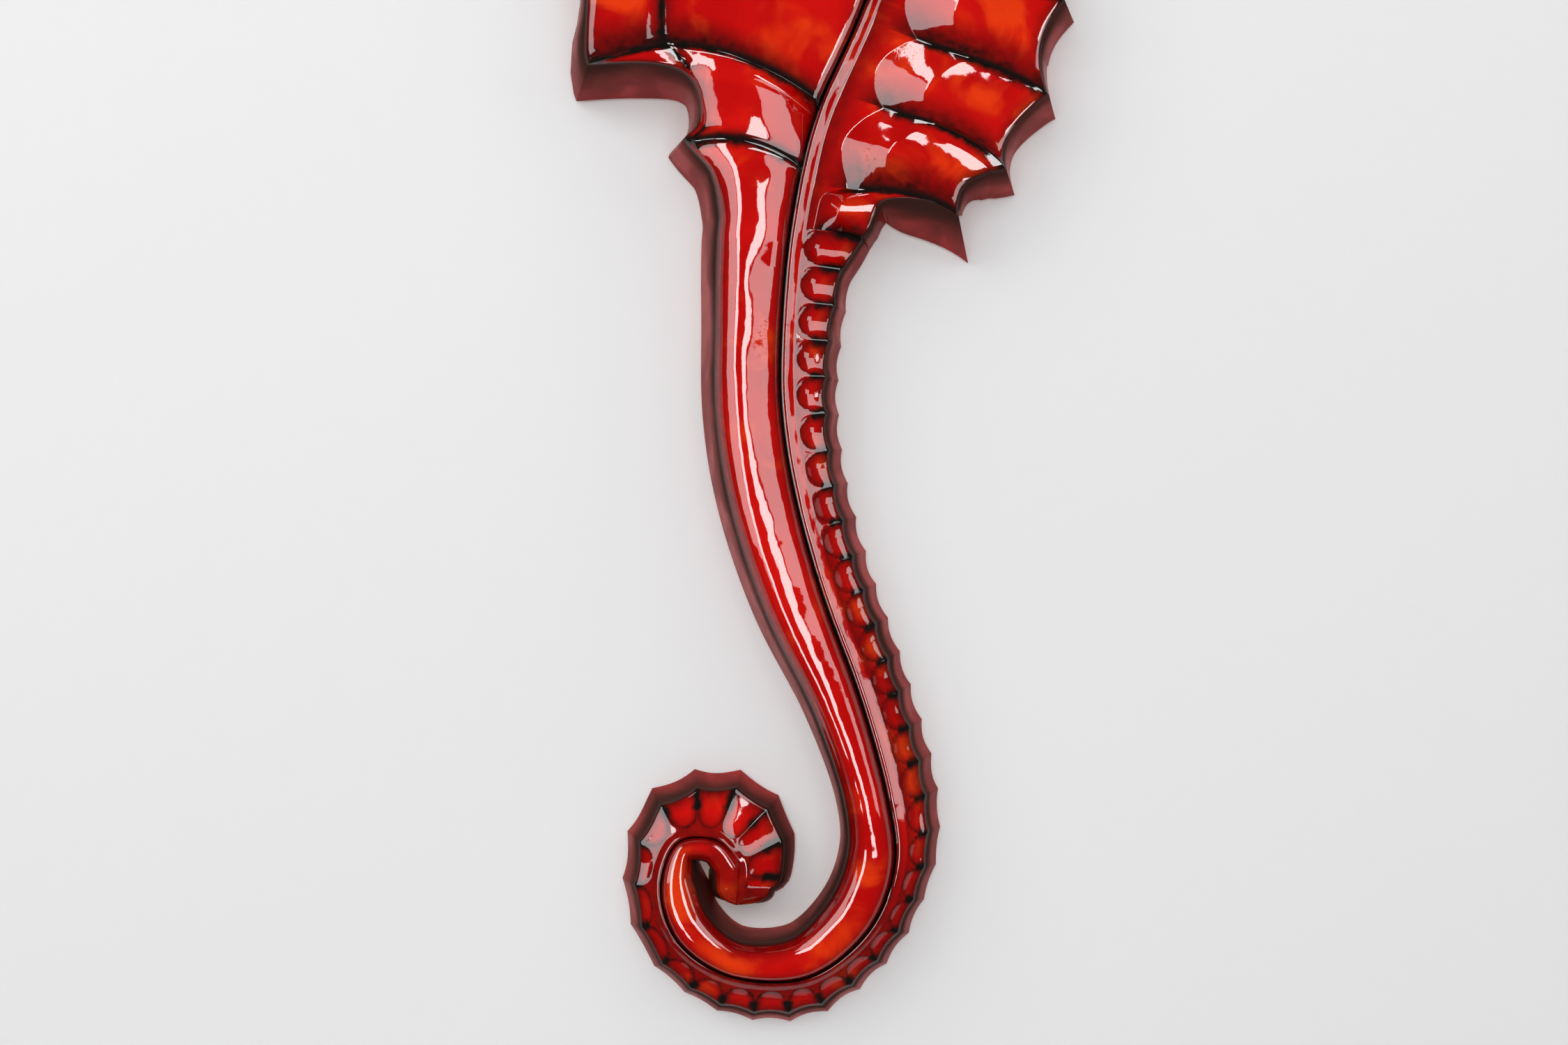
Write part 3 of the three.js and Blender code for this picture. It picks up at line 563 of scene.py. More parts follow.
@dataclass
class FootLine:
    """The outline on the wall plane, where the drafted walls end."""

    shape: CastingShape
    back: SpikedEdge
    scoop_rows: tuple[float, ...] = (0, 0.33, 0.67)
    web_rows: tuple[float, ...] = (0, 0.1, 0.3, 0.6, 0.85)
    claw_rows: tuple[float, ...] = (0, 0.035, 0.08, 0.14, 0.22, 0.35, 0.55, 0.8)
    keel_rows: tuple[float, ...] = (0,)
    steep_keel_rows: tuple[float, ...] = (0, 0.02, 0.045, 0.08, 0.13, 0.2, 0.3)
    closest_rows: float = 0.02
    spike_turn: float = 0.45
    flattest: float = 0.6

    def __post_init__(self) -> None:
        """Lay out the foot of every wall."""
        self.stations = self._row_stations()
        self.moves = self._spread()

    def _row_stations(self) -> Array:
        """Choose the rows that the foot is worked out on.

        Returns:
            Their stations, in order.
        """
        keel = self.shape.keel
        wanted = [self.shape.tail_tip]
        for edge, plain, steep in ((self.back, self.web_rows, self.claw_rows),
                                   (keel, self.keel_rows, self.steep_keel_rows)):
            for at, after, falls in zip(edge.at, edge.at[1:], edge.steep):
                rows = steep if falls else plain
                if edge is self.back and at >= self.shape.scoops_from:
                    rows = self.scoop_rows
                wanted += [at + (after - at) * share for share in rows]
        return thinned(wanted, np.concatenate([self.back.at, keel.at]), self.closest_rows)

    def _spread(self) -> tuple[Array, Array]:
        """Move the outline outwards: spikes to where their moved edges meet, the rest along mean directions.

        Returns:
            How far the belly's and the back's edge move at each row.
        """
        shape, rows = self.shape, self.stations
        keel_edge = shape.belly_place(rows, shape.belly(rows) + shape.keel.reach(rows))
        back_reach = self.back.reach(rows)
        outline = np.concatenate([keel_edge, shape.back_place(rows, back_reach, back_reach)[::-1]])
        middles = (rows[1:] + rows[:-1]) / 2
        depth = shape.rim(middles) - shape.foot_height
        on_fin = (middles > shape.fin[1].at) & (middles < shape.scoops_from)
        swing = np.where(on_fin, shape.web_draft_swing * (0.5 - self.back.between(middles)[1]), 0)
        belly_far = shape.belly_draft(middles) * depth
        back_far = (shape.back_draft(middles) + swing) * depth
        ends = shape.back_draft(rows[[-1, 0]]) * (shape.rim(rows[[-1, 0]]) - shape.foot_height)
        far = np.concatenate([belly_far, ends[:1], back_far[::-1], ends[1:]])
        near = np.roll(far, 1)
        edges = np.roll(outline, -1, axis=0) - outline
        second = unit(np.stack([edges[:, 1], -edges[:, 0]], axis=1))
        first = np.roll(second, 1, axis=0)
        turn = first[:, 0] * second[:, 1] - first[:, 1] * second[:, 0]
        spike = turn > self.spike_turn
        safe = np.where(spike, turn, 1)
        miter_x = (near * second[:, 1] - far * first[:, 1]) / safe
        miter_z = (far * first[:, 0] - near * second[:, 0]) / safe
        mean = unit(first + second)
        facing = np.maximum((mean * first).sum(axis=1), self.flattest)
        plain = mean * ((near + far) / 2 / facing)[:, None]
        moves = np.where(spike[:, None], np.stack([miter_x, miter_z], axis=1), plain)
        eased = moves / 2 + (np.roll(moves, 1, axis=0) + np.roll(moves, -1, axis=0)) / 4
        moves = np.where(spike[:, None], moves, eased)
        return moves[: len(rows)], moves[len(rows):][::-1]

    def at(self, station: Array) -> list[Array]:
        """How far the belly's and the back's edge move outwards at other stations."""
        return [np.stack([np.interp(station, self.stations, move) for move in moves.T], axis=-1)
                for moves in self.moves]


@dataclass
class Columns:
    """Neighbouring columns of every row: their places with the height last, and their marks."""

    places: Array
    marks: dict[Mark, Array]

    @classmethod
    def of(cls, places: Array, **marks: Array | float) -> Columns:
        """Columns at places, with 0 for each mark that isn't given."""
        size = places.shape[:2]
        return cls(places, {mark: np.broadcast_to(marks.get(mark.name.lower(), 0.0), size) for mark in Mark})

    @classmethod
    def beside(cls, parts: list[Columns]) -> Columns:
        """Several columns side by side."""
        marks = {mark: np.concatenate([part.marks[mark] for part in parts], axis=1) for mark in Mark}
        return cls(np.concatenate([part.places for part in parts], axis=1), marks)


@dataclass
class CastingBuilder:
    """Builds the casting in rows across the groove, each a closed loop round front, walls and hollow."""

    shape: CastingShape = field(default_factory=CastingShape)
    flow: GlazeFlow = field(default_factory=GlazeFlow)
    row_step: float = 1.4
    probe_points: int = 12
    rib_crowding: float = 0.72
    claw_rows: int = 22
    claw_share: float = 0.35
    claw_crowding: float = 1.6
    closest_rows: float = 0.0035
    rib_slack: float = 1e-9
    keel_columns: int = 9
    keel_crowding: float = 1.6
    plate_columns: int = 24
    plate_crowding: float = 1.3
    strip_columns: tuple[float, ...] = (0.03, 0.06, 0.11, 0.2, 0.31, 0.36, 0.42, 0.6, 0.8)
    web_columns: int = 22
    bend_columns: tuple[float, ...] = (-0.014, -0.005, 0.005, 0.014)
    wall_columns: tuple[float, ...] = (0.05, 0.14, 0.28, 0.48, 0.7, 0.88, 1.0)
    roof_columns: int = 7
    lip_columns: int = 3

    def __post_init__(self) -> None:
        """Work out the back's edge, the foot and the rows."""
        self.back = self.shape.back_edge()
        self.foot = FootLine(self.shape, self.back)
        self.rows = self._row_stations()

    def _row_stations(self) -> Array:
        """Choose the rows, closer together near ribs and under claws.

        Returns:
            Their stations, in order.
        """
        shape = self.shape
        ribs = np.unique(np.concatenate([self.back.at, shape.keel.at]))
        wanted = [ribs[-1]]
        for first, second in zip(ribs, ribs[1:]):
            probe = np.linspace(first, second, self.probe_points)
            reach = self.back.reach(probe)
            paths = (shape.groove.frame(probe)[0], shape.back_place(probe, reach, reach))
            count = max(2, round(max(steps(path).sum() for path in paths) / self.row_step))
            even = np.arange(count) / count
            crowded = even - self.rib_crowding * np.sin(2 * math.pi * even) / (2 * math.pi)
            wanted += list(first + (second - first) * crowded)
        shares = self.claw_share * np.linspace(0, 1, self.claw_rows) ** self.claw_crowding
        for edge in (self.back, shape.keel):
            for claw in np.flatnonzero(edge.steep):
                wanted += list(edge.at[claw] + (edge.at[claw + 1] - edge.at[claw]) * shares)
        return thinned(wanted, ribs, self.closest_rows)

    def _rib_run(self, places: Array, ribs: Array) -> tuple[Array, Array]:
        """Measure along each column to the ribs.

        Args:
            places: places on the front, by row and column.
            ribs: stations of the ribs.

        Returns:
            The distance to the nearer rib, and the distance from the rib before to the rib after.
        """
        run = np.cumsum(steps(places), axis=0)
        rib_rows = np.unique(np.searchsorted(self.rows, ribs - self.rib_slack))
        rib_rows = rib_rows[rib_rows < len(self.rows)]
        after = np.searchsorted(rib_rows, np.arange(len(self.rows)), side="right")
        after = np.clip(after, 1, len(rib_rows) - 1)
        start, end = run[rib_rows[after - 1]], run[rib_rows[after]]
        return np.minimum(np.abs(run - start), np.abs(end - run)), end - start

    def _spiked(self, station: Array) -> Array:
        """Where the keel has a web with spikes, from 0 to 1."""
        return np.clip(self.shape.keel.reach(station) / PLAIN_EDGE - 1.5, 0, 1)

    def _grooved(self, station: Array) -> Array:
        """Where the groove is drawn, from 0 to 1: not on the head, nor at the end of the tail."""
        return (1 - self.shape.head_round(station)) * (1 - self.shape.groove_ends(station))

    def _keel(self, station: Array) -> Columns:
        """Lay the web of the keel, from its edge to the belly ridge.

        Args:
            station: the rows' stations.

        Returns:
            The web's columns.
        """
        shape, flow = self.shape, self.flow
        share = 1 - np.linspace(0, 1, self.keel_columns + 1)[:-1] ** self.keel_crowding
        keel, spiked = shape.keel.reach(station), self._spiked(station)
        places = shape.belly_place(station, shape.belly(station) + keel * share)
        from_edge, from_ridge = keel * (1 - share), keel * share
        near_rib, _ = self._rib_run(places, shape.keel.at)
        dish = shape.keel_dish * np.clip(keel / PLAIN_EDGE - 1, 0, 1) * hump(share)
        beads = (shape.ridge_bead(from_ridge) + shape.rib_bead(near_rib)) * spiked
        fallen = shape.keel_fall * share ** (1 + shape.keel_fall_late * spiked)
        held = shape.ridge_level(station) * shape.crown(station) * (1 - fallen)
        rolled = rounding(from_edge, shape.belly_round(station))
        height = shape.rim(station) + held - shape.edge_drop * share - dish + beads - rolled
        drawn = np.minimum(flow.ridge_line * from_ridge, flow.rib_line * near_rib)
        line = np.minimum(flow.edge_line * from_edge, np.where(spiked > 0, drawn, flow.no_line))
        towards_rib = np.where(spiked > 0, flow.to_rib(shape.keel.between(station)[1]), 0)
        shade = np.maximum(flow.keel_edge(from_edge), flow.keel_ridge(from_ridge) * spiked)
        return Columns.of(raised(places, height), line=line, shade=np.maximum(shade, towards_rib),
                          warm=hump(share) * spiked, wall=flow.burnt_edge(from_edge))

    def _plate(self, station: Array) -> Columns:
        """Lay the plates between belly ridge and groove, with ribs where two meet.

        Args:
            station: the rows' stations.

        Returns:
            The plates' columns.
        """
        shape, flow = self.shape, self.flow
        share = (1 - cosine_shares(self.plate_columns + 1)) ** self.plate_crowding
        ridge, keel = shape.belly(station), shape.keel.reach(station)
        places = shape.belly_place(station, ridge * share)
        from_groove, from_ridge = ridge * share, ridge * (1 - share)
        grooved, spiked = self._grooved(station), self._spiked(station)
        ribbed = (station > shape.plates_from) & (station < shape.plates_to)
        near_rib, _ = self._rib_run(places, shape.keel.at)
        between = shape.keel.between(station)[1]
        plate = self._crown(station, share, ridge)
        dome = shape.crown(station) * np.maximum(1 - share**2, 0) ** shape.crown_fullness
        crown = plate + (dome - plate) * shape.head_round(station)
        crease = shape.groove_depth * np.maximum(1 - (from_groove / shape.groove_width) ** 2, 0) * grooved
        beads = shape.ridge_bead(from_ridge) * spiked + shape.rib_bead(near_rib) * ribbed
        rolled = rounding(from_ridge + keel, shape.belly_round(station))
        height = shape.rim(station) + crown - crease + beads - rolled
        line = flow.groove_line * from_groove + flow.plain_line * (1 - grooved)
        line = np.minimum(line, np.where(ribbed, flow.rib_line * near_rib, flow.no_line))
        line = np.minimum(line, np.where(spiked > 0, flow.ridge_line * from_ridge, flow.no_line))
        tail_end = flow.tail_end(station)
        side = np.where(spiked > 0, flow.plate_ridge(from_ridge), flow.belly_edge(from_ridge + keel))
        shade = np.maximum(flow.to_rib(between) * ribbed, flow.plate_groove(from_groove) * grooved)
        shade = np.maximum(shade, np.maximum(side, flow.tail_end_shade * tail_end))
        warm = np.where(ribbed, flow.plate_warmth * np.sin(math.pi * between),
                        flow.curl_warmth(station) * (1 - tail_end))
        return Columns.of(raised(places, height), line=line, shade=shade, warm=warm * hump(share))

    def _crown(self, station: Array, share: Array, ridge: Array) -> Array:
        """Shape of a plate between groove and ridge.

        Args:
            station: stations along the groove.
            share: shares of the way from groove to ridge.
            ridge: reach of the ridge.

        Returns:
            The plate's height over the rim: a flat plate on the trunk, a rounded roof on the tail.
        """
        shape = self.shape
        crest, crown = shape.crest(station), shape.crown(station)
        beyond = share > crest
        side = np.where(beyond, 1 - crest, crest) * ridge
        away = np.abs(share - crest) * ridge
        dropped = [shape.roof_slope(station) * (np.sqrt(distance**2 + shape.roof_ease**2) - shape.roof_ease)
                   + distance**2 / (2 * shape.crest_radius(station)) for distance in (away, side)]
        fallen = np.where(beyond, 1 - shape.ridge_level(station), 1) * crown
        power = np.where(beyond, shape.ridge_fall, shape.groove_fall(station))
        return crown - dropped[0] - np.maximum(fallen - dropped[1], 0) * (away / side) ** power

    def _strip(self, station: Array) -> Columns:
        """Lay the rounded strip beside the groove.

        Args:
            station: the rows' stations.

        Returns:
            The strip's columns.
        """
        shape, flow = self.shape, self.flow
        share = np.array(self.strip_columns)
        reach = shape.strip(station) * share
        places = shape.back_place(station, reach, self.back.reach(station))
        on_head, grooved = shape.head_round(station), self._grooved(station)
        crease = shape.groove_depth * np.maximum(1 - reach / shape.groove_wall, 0)
        rise = (shape.strip_rise(share) - crease) * grooved
        height = shape.rim(station) + rise + shape.crown(station) * on_head
        line = flow.groove_line * reach + flow.plain_line * (1 - grooved)
        stained = flow.late_stain * flow.strip_late(station) * (1 - on_head)
        shade = np.maximum(flow.strip_groove(reach) * grooved, stained)
        return Columns.of(raised(places, height), line=line, shade=shade)

    def _web(self, station: Array) -> Columns:
        """Lay fin webs and scoops: dishes with round beginnings between ribs.

        Args:
            station: the rows' stations.

        Returns:
            Their columns.
        """
        shape, flow, back = self.shape, self.flow, self.back
        corners = (shape.fin_shoulder, shape.fin_chamfer)
        bends = [corner + step for corner in corners for step in self.bend_columns]
        even = np.sort(np.concatenate([cosine_shares(self.web_columns), bends]))
        i, between = back.between(station)
        off_middle = (2 * between - 1) ** 2
        on_fin, ribbed = station < shape.scoops_from, station >= shape.fin[1].at
        swing = shape.fin_bend_swing * off_middle * (1 - shape.fin_swing_ends(station)) * ribbed
        share = np.where(even < shape.fin_chamfer, even + swing * np.minimum(even / shape.fin_shoulder, 1),
                         even + swing * (1 - even) / (1 - shape.fin_chamfer))
        edge, strip = back.reach(station), shape.strip(station)
        long = edge - strip
        places = shape.back_place(station, strip + long * share, edge)
        from_edge = long * (1 - share)
        _, pitch = self._rib_run(places, back.at)

        broad = np.clip((back.tip[i] + back.tip[i + 1]) / 2 / shape.broad_web, 0, 1)
        scoop = shape.scoop_dish(station)
        depth = np.where(on_fin, scoop + (shape.fin_dish - scoop) * broad**2, scoop) * ribbed
        start = np.clip(pitch / 2 / long, *shape.dish_start)
        along = np.clip((start - share) / start, 0, 1)
        rounds = np.sqrt(along**2 + off_middle)
        ramp = np.clip((share - shape.fin_shoulder - swing) / (shape.fin_chamfer - shape.fin_shoulder), 0, 1)
        webbed = ramp * (1 - shape.fin_rib_slope(share) * off_middle)
        scooped = np.clip(1 - rounds**2, 0, 1) ** shape.scoop_fullness
        rise = np.where(on_fin, shape.dish_rise, shape.scoop_rise)
        bowl = np.where(on_fin, webbed, scooped) * (1 - rise * share**2)
        top = shape.strip_rise(np.ones(1)) * self._grooved(station)
        top = top + shape.crown(station) * shape.head_round(station)
        dropped = np.where(on_fin, shape.edge_drop, shape.scoop_slope(station) * long)
        slope = top - (dropped + top) * share
        height = shape.rim(station) + slope - depth * bowl - rounding(from_edge, shape.back_round)

        last_web = i == len(back.at) - 2
        near_rib = np.where(last_web, between, (1 - np.abs(2 * between - 1)) / 2) * pitch
        fade = flow.line_fade * (1 - np.where(on_fin, flow.fin_fade(share), flow.scoop_fade(share)))
        line = np.minimum(np.where(ribbed, flow.web_rib_line * near_rib + fade, flow.no_line), from_edge)
        late, inside = flow.web_late(station), rounds < 1
        # Painted shade in the scoops: a dark ring inside the rim, where the glaze also breaks dark, and a
        # darkening at the start beside the strip, both cleared towards the outer edge; outside the bowls late
        # scoops carry a real stain
        border = flow.scoop_border(1 - rounds) + late * flow.late_border(1 - rounds)
        border = np.where(inside, border, flow.beside_scoop)
        scoop_stain_and_painted_shade = np.maximum(border, flow.scoop_start * along) * (1 - flow.scoop_clears(share))
        scoop_stain_and_painted_shade = np.maximum(scoop_stain_and_painted_shade, np.where(inside, 0, flow.late_stain * late))
        lower = flow.web_lower(between) * flow.web_begins(share)
        fin_shade = np.maximum(lower, flow.web_start(share * long))
        shade = np.where(on_fin, fin_shade, scoop_stain_and_painted_shade) * ribbed
        shade = np.clip(np.maximum(shade, flow.web_edge(from_edge)), 0, 1)
        warm = flow.web_warm(share) * np.sin(math.pi * np.clip(between * flow.warm_shift, 0, 1))
        warm = warm * ribbed * (1 - flow.late_cooling * late)
        return Columns.of(raised(places, height), line=line, shade=shade, warm=warm,
                          wall=flow.burnt_edge(from_edge))

    def _add_eye(self, front: Columns) -> None:
        """Raise the eye ball and its ring on the head.

        Args:
            front: the front's columns, which are changed.
        """
        shape = self.shape
        station = np.array(shape.eye_station)
        level = float(shape.rim(station) + shape.crown(station))
        away = np.linalg.norm(front.places[..., :2] - shape.groove.frame(station)[0], axis=-1)
        off_ring = away - shape.eye_radius - shape.eye_ring
        ball = level - shape.eye_sink + np.sqrt(np.maximum(shape.eye_radius**2 - away**2, 0))
        ball = np.where(away < shape.eye_radius, ball, 0)
        ring = level - shape.eye_ring_sink + np.sqrt(np.maximum(shape.eye_ring**2 - off_ring**2, 0))
        ring = np.where(np.abs(off_ring) < shape.eye_ring, ring, 0)
        around = np.maximum(front.places[..., 2], ring)
        border = np.abs(off_ring + shape.eye_ring + shape.eye_line)
        lines = np.minimum(border, np.abs(off_ring - shape.eye_ring))
        front.marks[Mark.EYE] = (ball > around).astype(float)
        front.marks[Mark.LINE] = np.minimum(front.marks[Mark.LINE], lines)
        front.places[..., 2] = np.maximum(around, ball)

    def build(self) -> Columns:
        """Make every row's loop: the front, the back's wall, the hollow and the belly's wall.

        Returns:
            All the columns, with their marks.
        """
        shape, flow, rows = self.shape, self.flow, self.rows
        station = rows[:, None]
        front = Columns.beside([part(station) for part in (self._keel, self._plate, self._strip, self._web)])
        self._add_eye(front)
        x, z = front.places[..., 0], front.places[..., 1]
        waves = sum(np.sin(x / wide + z / high + start) for wide, high, start in shape.waves)
        front.places[..., 2] += shape.wave_height * waves
        keel_edge, back_edge = front.places[:, 0], front.places[:, -1]
        belly_move, back_move = self.foot.at(rows)
        foot = shape.foot_height
        hollowed = shape.hollow_start(rows) * (1 - shape.hollow_end(rows))
        roof = foot + (shape.rim(rows) - shape.roof_thickness - foot) * hollowed
        edge = self.back.reach(rows)
        belly = shape.belly(rows) + shape.hollow_keel(rows)
        back = np.minimum(shape.hollow_back(rows), edge * shape.hollow_back_share)
        taper = np.minimum(shape.hollow_taper, np.minimum(belly, back) / 2)
        lines = (
            back_edge,
            raised(back_edge[:, :2] + back_move, foot),
            raised(shape.back_place(rows, back, edge), foot),
            raised(shape.back_place(rows, back - taper, edge), roof),
            raised(shape.belly_place(rows, belly - taper), roof),
            raised(shape.belly_place(rows, belly), foot),
            raised(keel_edge[:, :2] + belly_move, foot),
            keel_edge,
        )
        down = np.array(self.wall_columns)
        lip = np.arange(1, self.lip_columns + 1) / self.lip_columns
        across = np.arange(1, self.roof_columns + 1) / self.roof_columns
        shares = (down, lip, lip, across, lip, lip[:-1], 1 - down[::-1])
        reds = {0: down * flow.back_wall(station), len(shares) - 1: down[::-1] * flow.belly_wall(station)}
        loop = [front]
        for k, share in enumerate(shares):
            places = lines[k][:, None] + (lines[k + 1] - lines[k])[:, None] * share[:, None]
            wall = np.maximum(reds[k], flow.least_wall) if k in reds else 1
            loop.append(Columns.of(places, line=flow.no_line, wall=wall, bare=k not in reds))
        return Columns.beside(loop)


def part_frame(drawing: Array) -> Array:
    """Turn places in the drawing, with height last, into metres of the part's frame."""
    return np.stack([drawing[..., 0] - HANG_X, -drawing[..., 2], drawing[..., 1] - HANG_Z], axis=-1) * MM


def new_piece(name: str, mesh: bpy.types.Mesh) -> Piece:
    """Put a mesh into the scene.

    Args:
        name: the object's name.
        mesh: its mesh.

    Returns:
        The object.
    """
    piece = bpy.data.objects.new(name, mesh)
    bpy.context.scene.collection.objects.link(piece)
    return piece


def smoothed(mesh: bpy.types.Mesh, crease_angle: float) -> bpy.types.Mesh:
    """Shade a mesh smooth.

    Args:
        mesh: the mesh.
        crease_angle: the angle in degrees past which an edge is sharp.

    Returns:
        The same mesh.
    """
    mesh.polygons.foreach_set("use_smooth", np.ones(len(mesh.polygons), bool))
    mesh.set_sharp_from_angle(angle=math.radians(crease_angle))
    return mesh


def loft(name: str, rows: Array, crease_angle: float, finish: Material | None = None,
         ends: Array | None = None) -> Piece:
    """Make a closed piece from closed rows of points.

    Args:
        name: the piece's name.
        rows: the points by row and column, in metres.
        crease_angle: the angle in degrees past which an edge is sharp.
        finish: its material, if it gets one here.
        ends: the points that close the first and the last row, or else the middles of those rows.

    Returns:
        The new object, its faces pointing outwards.
    """
    ends = rows[[0, -1]].mean(axis=1) if ends is None else ends
    index = np.arange(rows.shape[0] * rows.shape[1]).reshape(rows.shape[:2])
    turned = np.roll(index, -1, axis=1)
    faces = np.stack([index[:-1], index[1:], turned[1:], turned[:-1]], axis=-1).reshape(-1, 4).tolist()
    rims = np.stack([index[0], turned[0], turned[-1], index[-1]], axis=1)
    for first, second, third, fourth in rims.tolist():
        faces += [(index.size, first, second), (index.size + 1, third, fourth)]
    mesh = bpy.data.meshes.new(name)
    mesh.from_pydata(np.concatenate([rows.reshape(-1, 3), ends]).tolist(), [], faces)
    shape = bmesh.new()
    shape.from_mesh(mesh)
    bmesh.ops.recalc_face_normals(shape, faces=shape.faces)
    shape.to_mesh(mesh)
    shape.free()
    if finish:
        mesh.materials.append(finish)
    return new_piece(name, smoothed(mesh, crease_angle))


@dataclass
class Casting:
    """The glazed seahorse, one fired piece with a hollow back."""

    builder: CastingBuilder = field(default_factory=CastingBuilder)
    cap_rings: tuple[float, ...] = (0.995, 0.97, 0.92, 0.83, 0.7, 0.52, 0.3)
    mouth_share: float = 0.45
    mouth_line: float = 8.0
    crease_angle: float = 52.0

    def make(self, finish: Material) -> Piece:
        """Make the casting's mesh with the marks that its glaze reads.

        Args:
            finish: the glaze.

        Returns:
            The new object.
        """
        columns, shape = self.builder.build(), self.builder.shape
        rings = np.array(self.cap_rings)[:, None]
        caps, ends = [], []
        for row, beyond, fullness in ((0, shape.mouth_dimple, 1.0),
                                      (-1, shape.tail_tip_bulge, shape.tail_tip_fullness)):
            loop, station = columns.places[row], self.builder.rows[row]
            middle = np.array([*loop.mean(axis=0)[:2], float(shape.rim(station)) / 2])
            outwards = np.array([*shape.groove.frame(station)[1], 0]) * beyond
            size = np.concatenate([rings, rings, rings**fullness], axis=1)
            ends.append(middle + outwards)
            shift = (outwards * np.sqrt(1 - rings**2))[:, None]
            caps.append(middle + (loop - middle) * size[:, None] + shift)
        rows = part_frame(np.concatenate([caps[0][::-1], columns.places, caps[1]]))
        piece = loft("glazed_casting", rows, self.crease_angle, finish, part_frame(np.array(ends)))
        from_mouth = self.mouth_line * (rings[::-1] - self.mouth_share)
        mouth = {Mark.LINE: from_mouth, Mark.WALL: 0.0, Mark.BARE: 0.0}
        for mark, values in columns.marks.items():
            size = (len(rings), values.shape[1])
            first = np.broadcast_to(mouth.get(mark, values[:1]), size)
            last = np.broadcast_to(values[-1:], size)
            whole = np.concatenate([first, values, last])
            flat = np.concatenate([whole.ravel(), whole[0, :1], whole[-1, :1]]).astype(np.float32)
            piece.data.attributes.new(mark.value, "FLOAT", "POINT").data.foreach_set("value", flat)
        return piece


# Materials


class Graph:
    """Adds nodes to one node tree and joins them."""

    def __init__(self, tree: bpy.types.NodeTree) -> None:
        """Keep the tree."""
        self.tree = tree

    def join(self, source: Source, target: Socket) -> None:
        """Feed a socket from another one, or set it.

        Args:
            source: a socket, or the value itself.
            target: the socket that is fed.
        """
        if isinstance(source, bpy.types.NodeSocket):
            self.tree.links.new(source, target)
        elif isinstance(source, tuple):
            target.default_value = (*source, 1.0) if len(target.default_value) == 4 else source
        else:
            target.default_value = source

    def add(self, kind: str, feeds: dict[str | int, Source] | None = None, **settings: object) -> Node:
        """Add a node.

        Args:
            kind: the node's type name.
            feeds: what its inputs get, by name or number.
            **settings: the node's own properties.

        Returns:
            The new node.
        """
        node = self.tree.nodes.new(kind)
        for name, value in settings.items():
            setattr(node, name, value)
        for key, source in (feeds or {}).items():
            self.join(source, node.inputs[key])
        return node

    def math(self, operation: str, first: Source, second: Source) -> Socket:
        """The result of a Math node."""
        return self.add("ShaderNodeMath", {0: first, 1: second}, operation=operation).outputs[0]

    def span(self, value: Socket, low: Source, high: Source, to_low: float = 0.0,
             to_high: float = 1.0) -> Socket:
        """A value mapped smoothly from one span to another, held at both ends."""
        feeds = {"Value": value, "From Min": low, "From Max": high, "To Min": to_low, "To Max": to_high}
        return self.add("ShaderNodeMapRange", feeds, interpolation_type="SMOOTHSTEP").outputs["Result"]

    def blend(self, share: Source, first: Source, second: Source) -> Socket:
        """A mix of two colours."""
        return self.add("ShaderNodeMix", {"Factor": share, 6: first, 7: second}, data_type="RGBA").outputs[2]

    def noise(self, place: Socket, scale: Source, detail: float = 2.0, twist: float = 0.0) -> Socket:
        """The value of a Noise texture."""
        feeds = {"Vector": place, "Scale": scale, "Detail": detail, "Distortion": twist}
        return self.add("ShaderNodeTexNoise", feeds).outputs["Fac"]

    def bump(self, height: Socket, strength: float, distance: float) -> Socket:
        """The normal of a Bump node."""
        feeds = {"Strength": strength, "Distance": distance, "Height": height}
        return self.add("ShaderNodeBump", feeds).outputs["Normal"]


def new_tree(name: str, family: str, result: tuple[str, str],
             **inputs: str) -> tuple[Graph, bpy.types.NodeOutputs]:
    """Start a node group.

    Args:
        name: its name.
        family: Shader or Geometry.
        result: name and kind of its output.
        **inputs: kinds of its inputs by name, with _ for a space.

    Returns:
        The group's graph, and the sockets of its inputs.
    """
    tree = bpy.data.node_groups.new(name, f"{family}NodeTree")
    for label, kind in inputs.items():
        tree.interface.new_socket(label.replace("_", " "), in_out="INPUT", socket_type=f"NodeSocket{kind}")
    tree.interface.new_socket(result[0], in_out="OUTPUT", socket_type=f"NodeSocket{result[1]}")
    graph = Graph(tree)
    return graph, graph.add("NodeGroupInput").outputs


class Noise(NamedTuple):
    """A noise: its scale, its detail and its twist."""

    scale: float
    detail: float = 2.0
    twist: float = 0.0


class Relief(NamedTuple):
    """A bump: its strength, and its height in metres."""

    strength: float
    height: float


class Specks(NamedTuple):
    """Small round specks: how many to a metre, their radius in metres, and the share that shows."""

    density: float
    radius: float
    share: float

    @classmethod
    def group(cls) -> bpy.types.NodeTree:
        """Build the node group of the specks, which glaze, wood and adhesive use.

        Returns:
            The group, with the specks' mask as its output.
        """
        graph, given = new_tree("scattered_specks", "Shader", ("Mask", "Float"),
                                Place="Vector", Density="Float", Radius="Float", Share="Float")
        feeds = {"Vector": given["Place"], "Scale": given["Density"]}
        cells = graph.add("ShaderNodeTexVoronoi", feeds, feature="F1")
        chance = graph.add("ShaderNodeSeparateColor", {"Color": cells.outputs["Color"]}).outputs
        reach = graph.math("MULTIPLY", given["Radius"], given["Density"])
        reach = graph.math("MULTIPLY", reach, graph.math("ADD", chance["Green"], 0.4))
        inside = graph.math("LESS_THAN", cells.outputs["Distance"], reach)
        chosen = graph.math("LESS_THAN", chance["Red"], given["Share"])
        graph.add("NodeGroupOutput", {"Mask": graph.math("MULTIPLY", inside, chosen)})
        return graph.tree


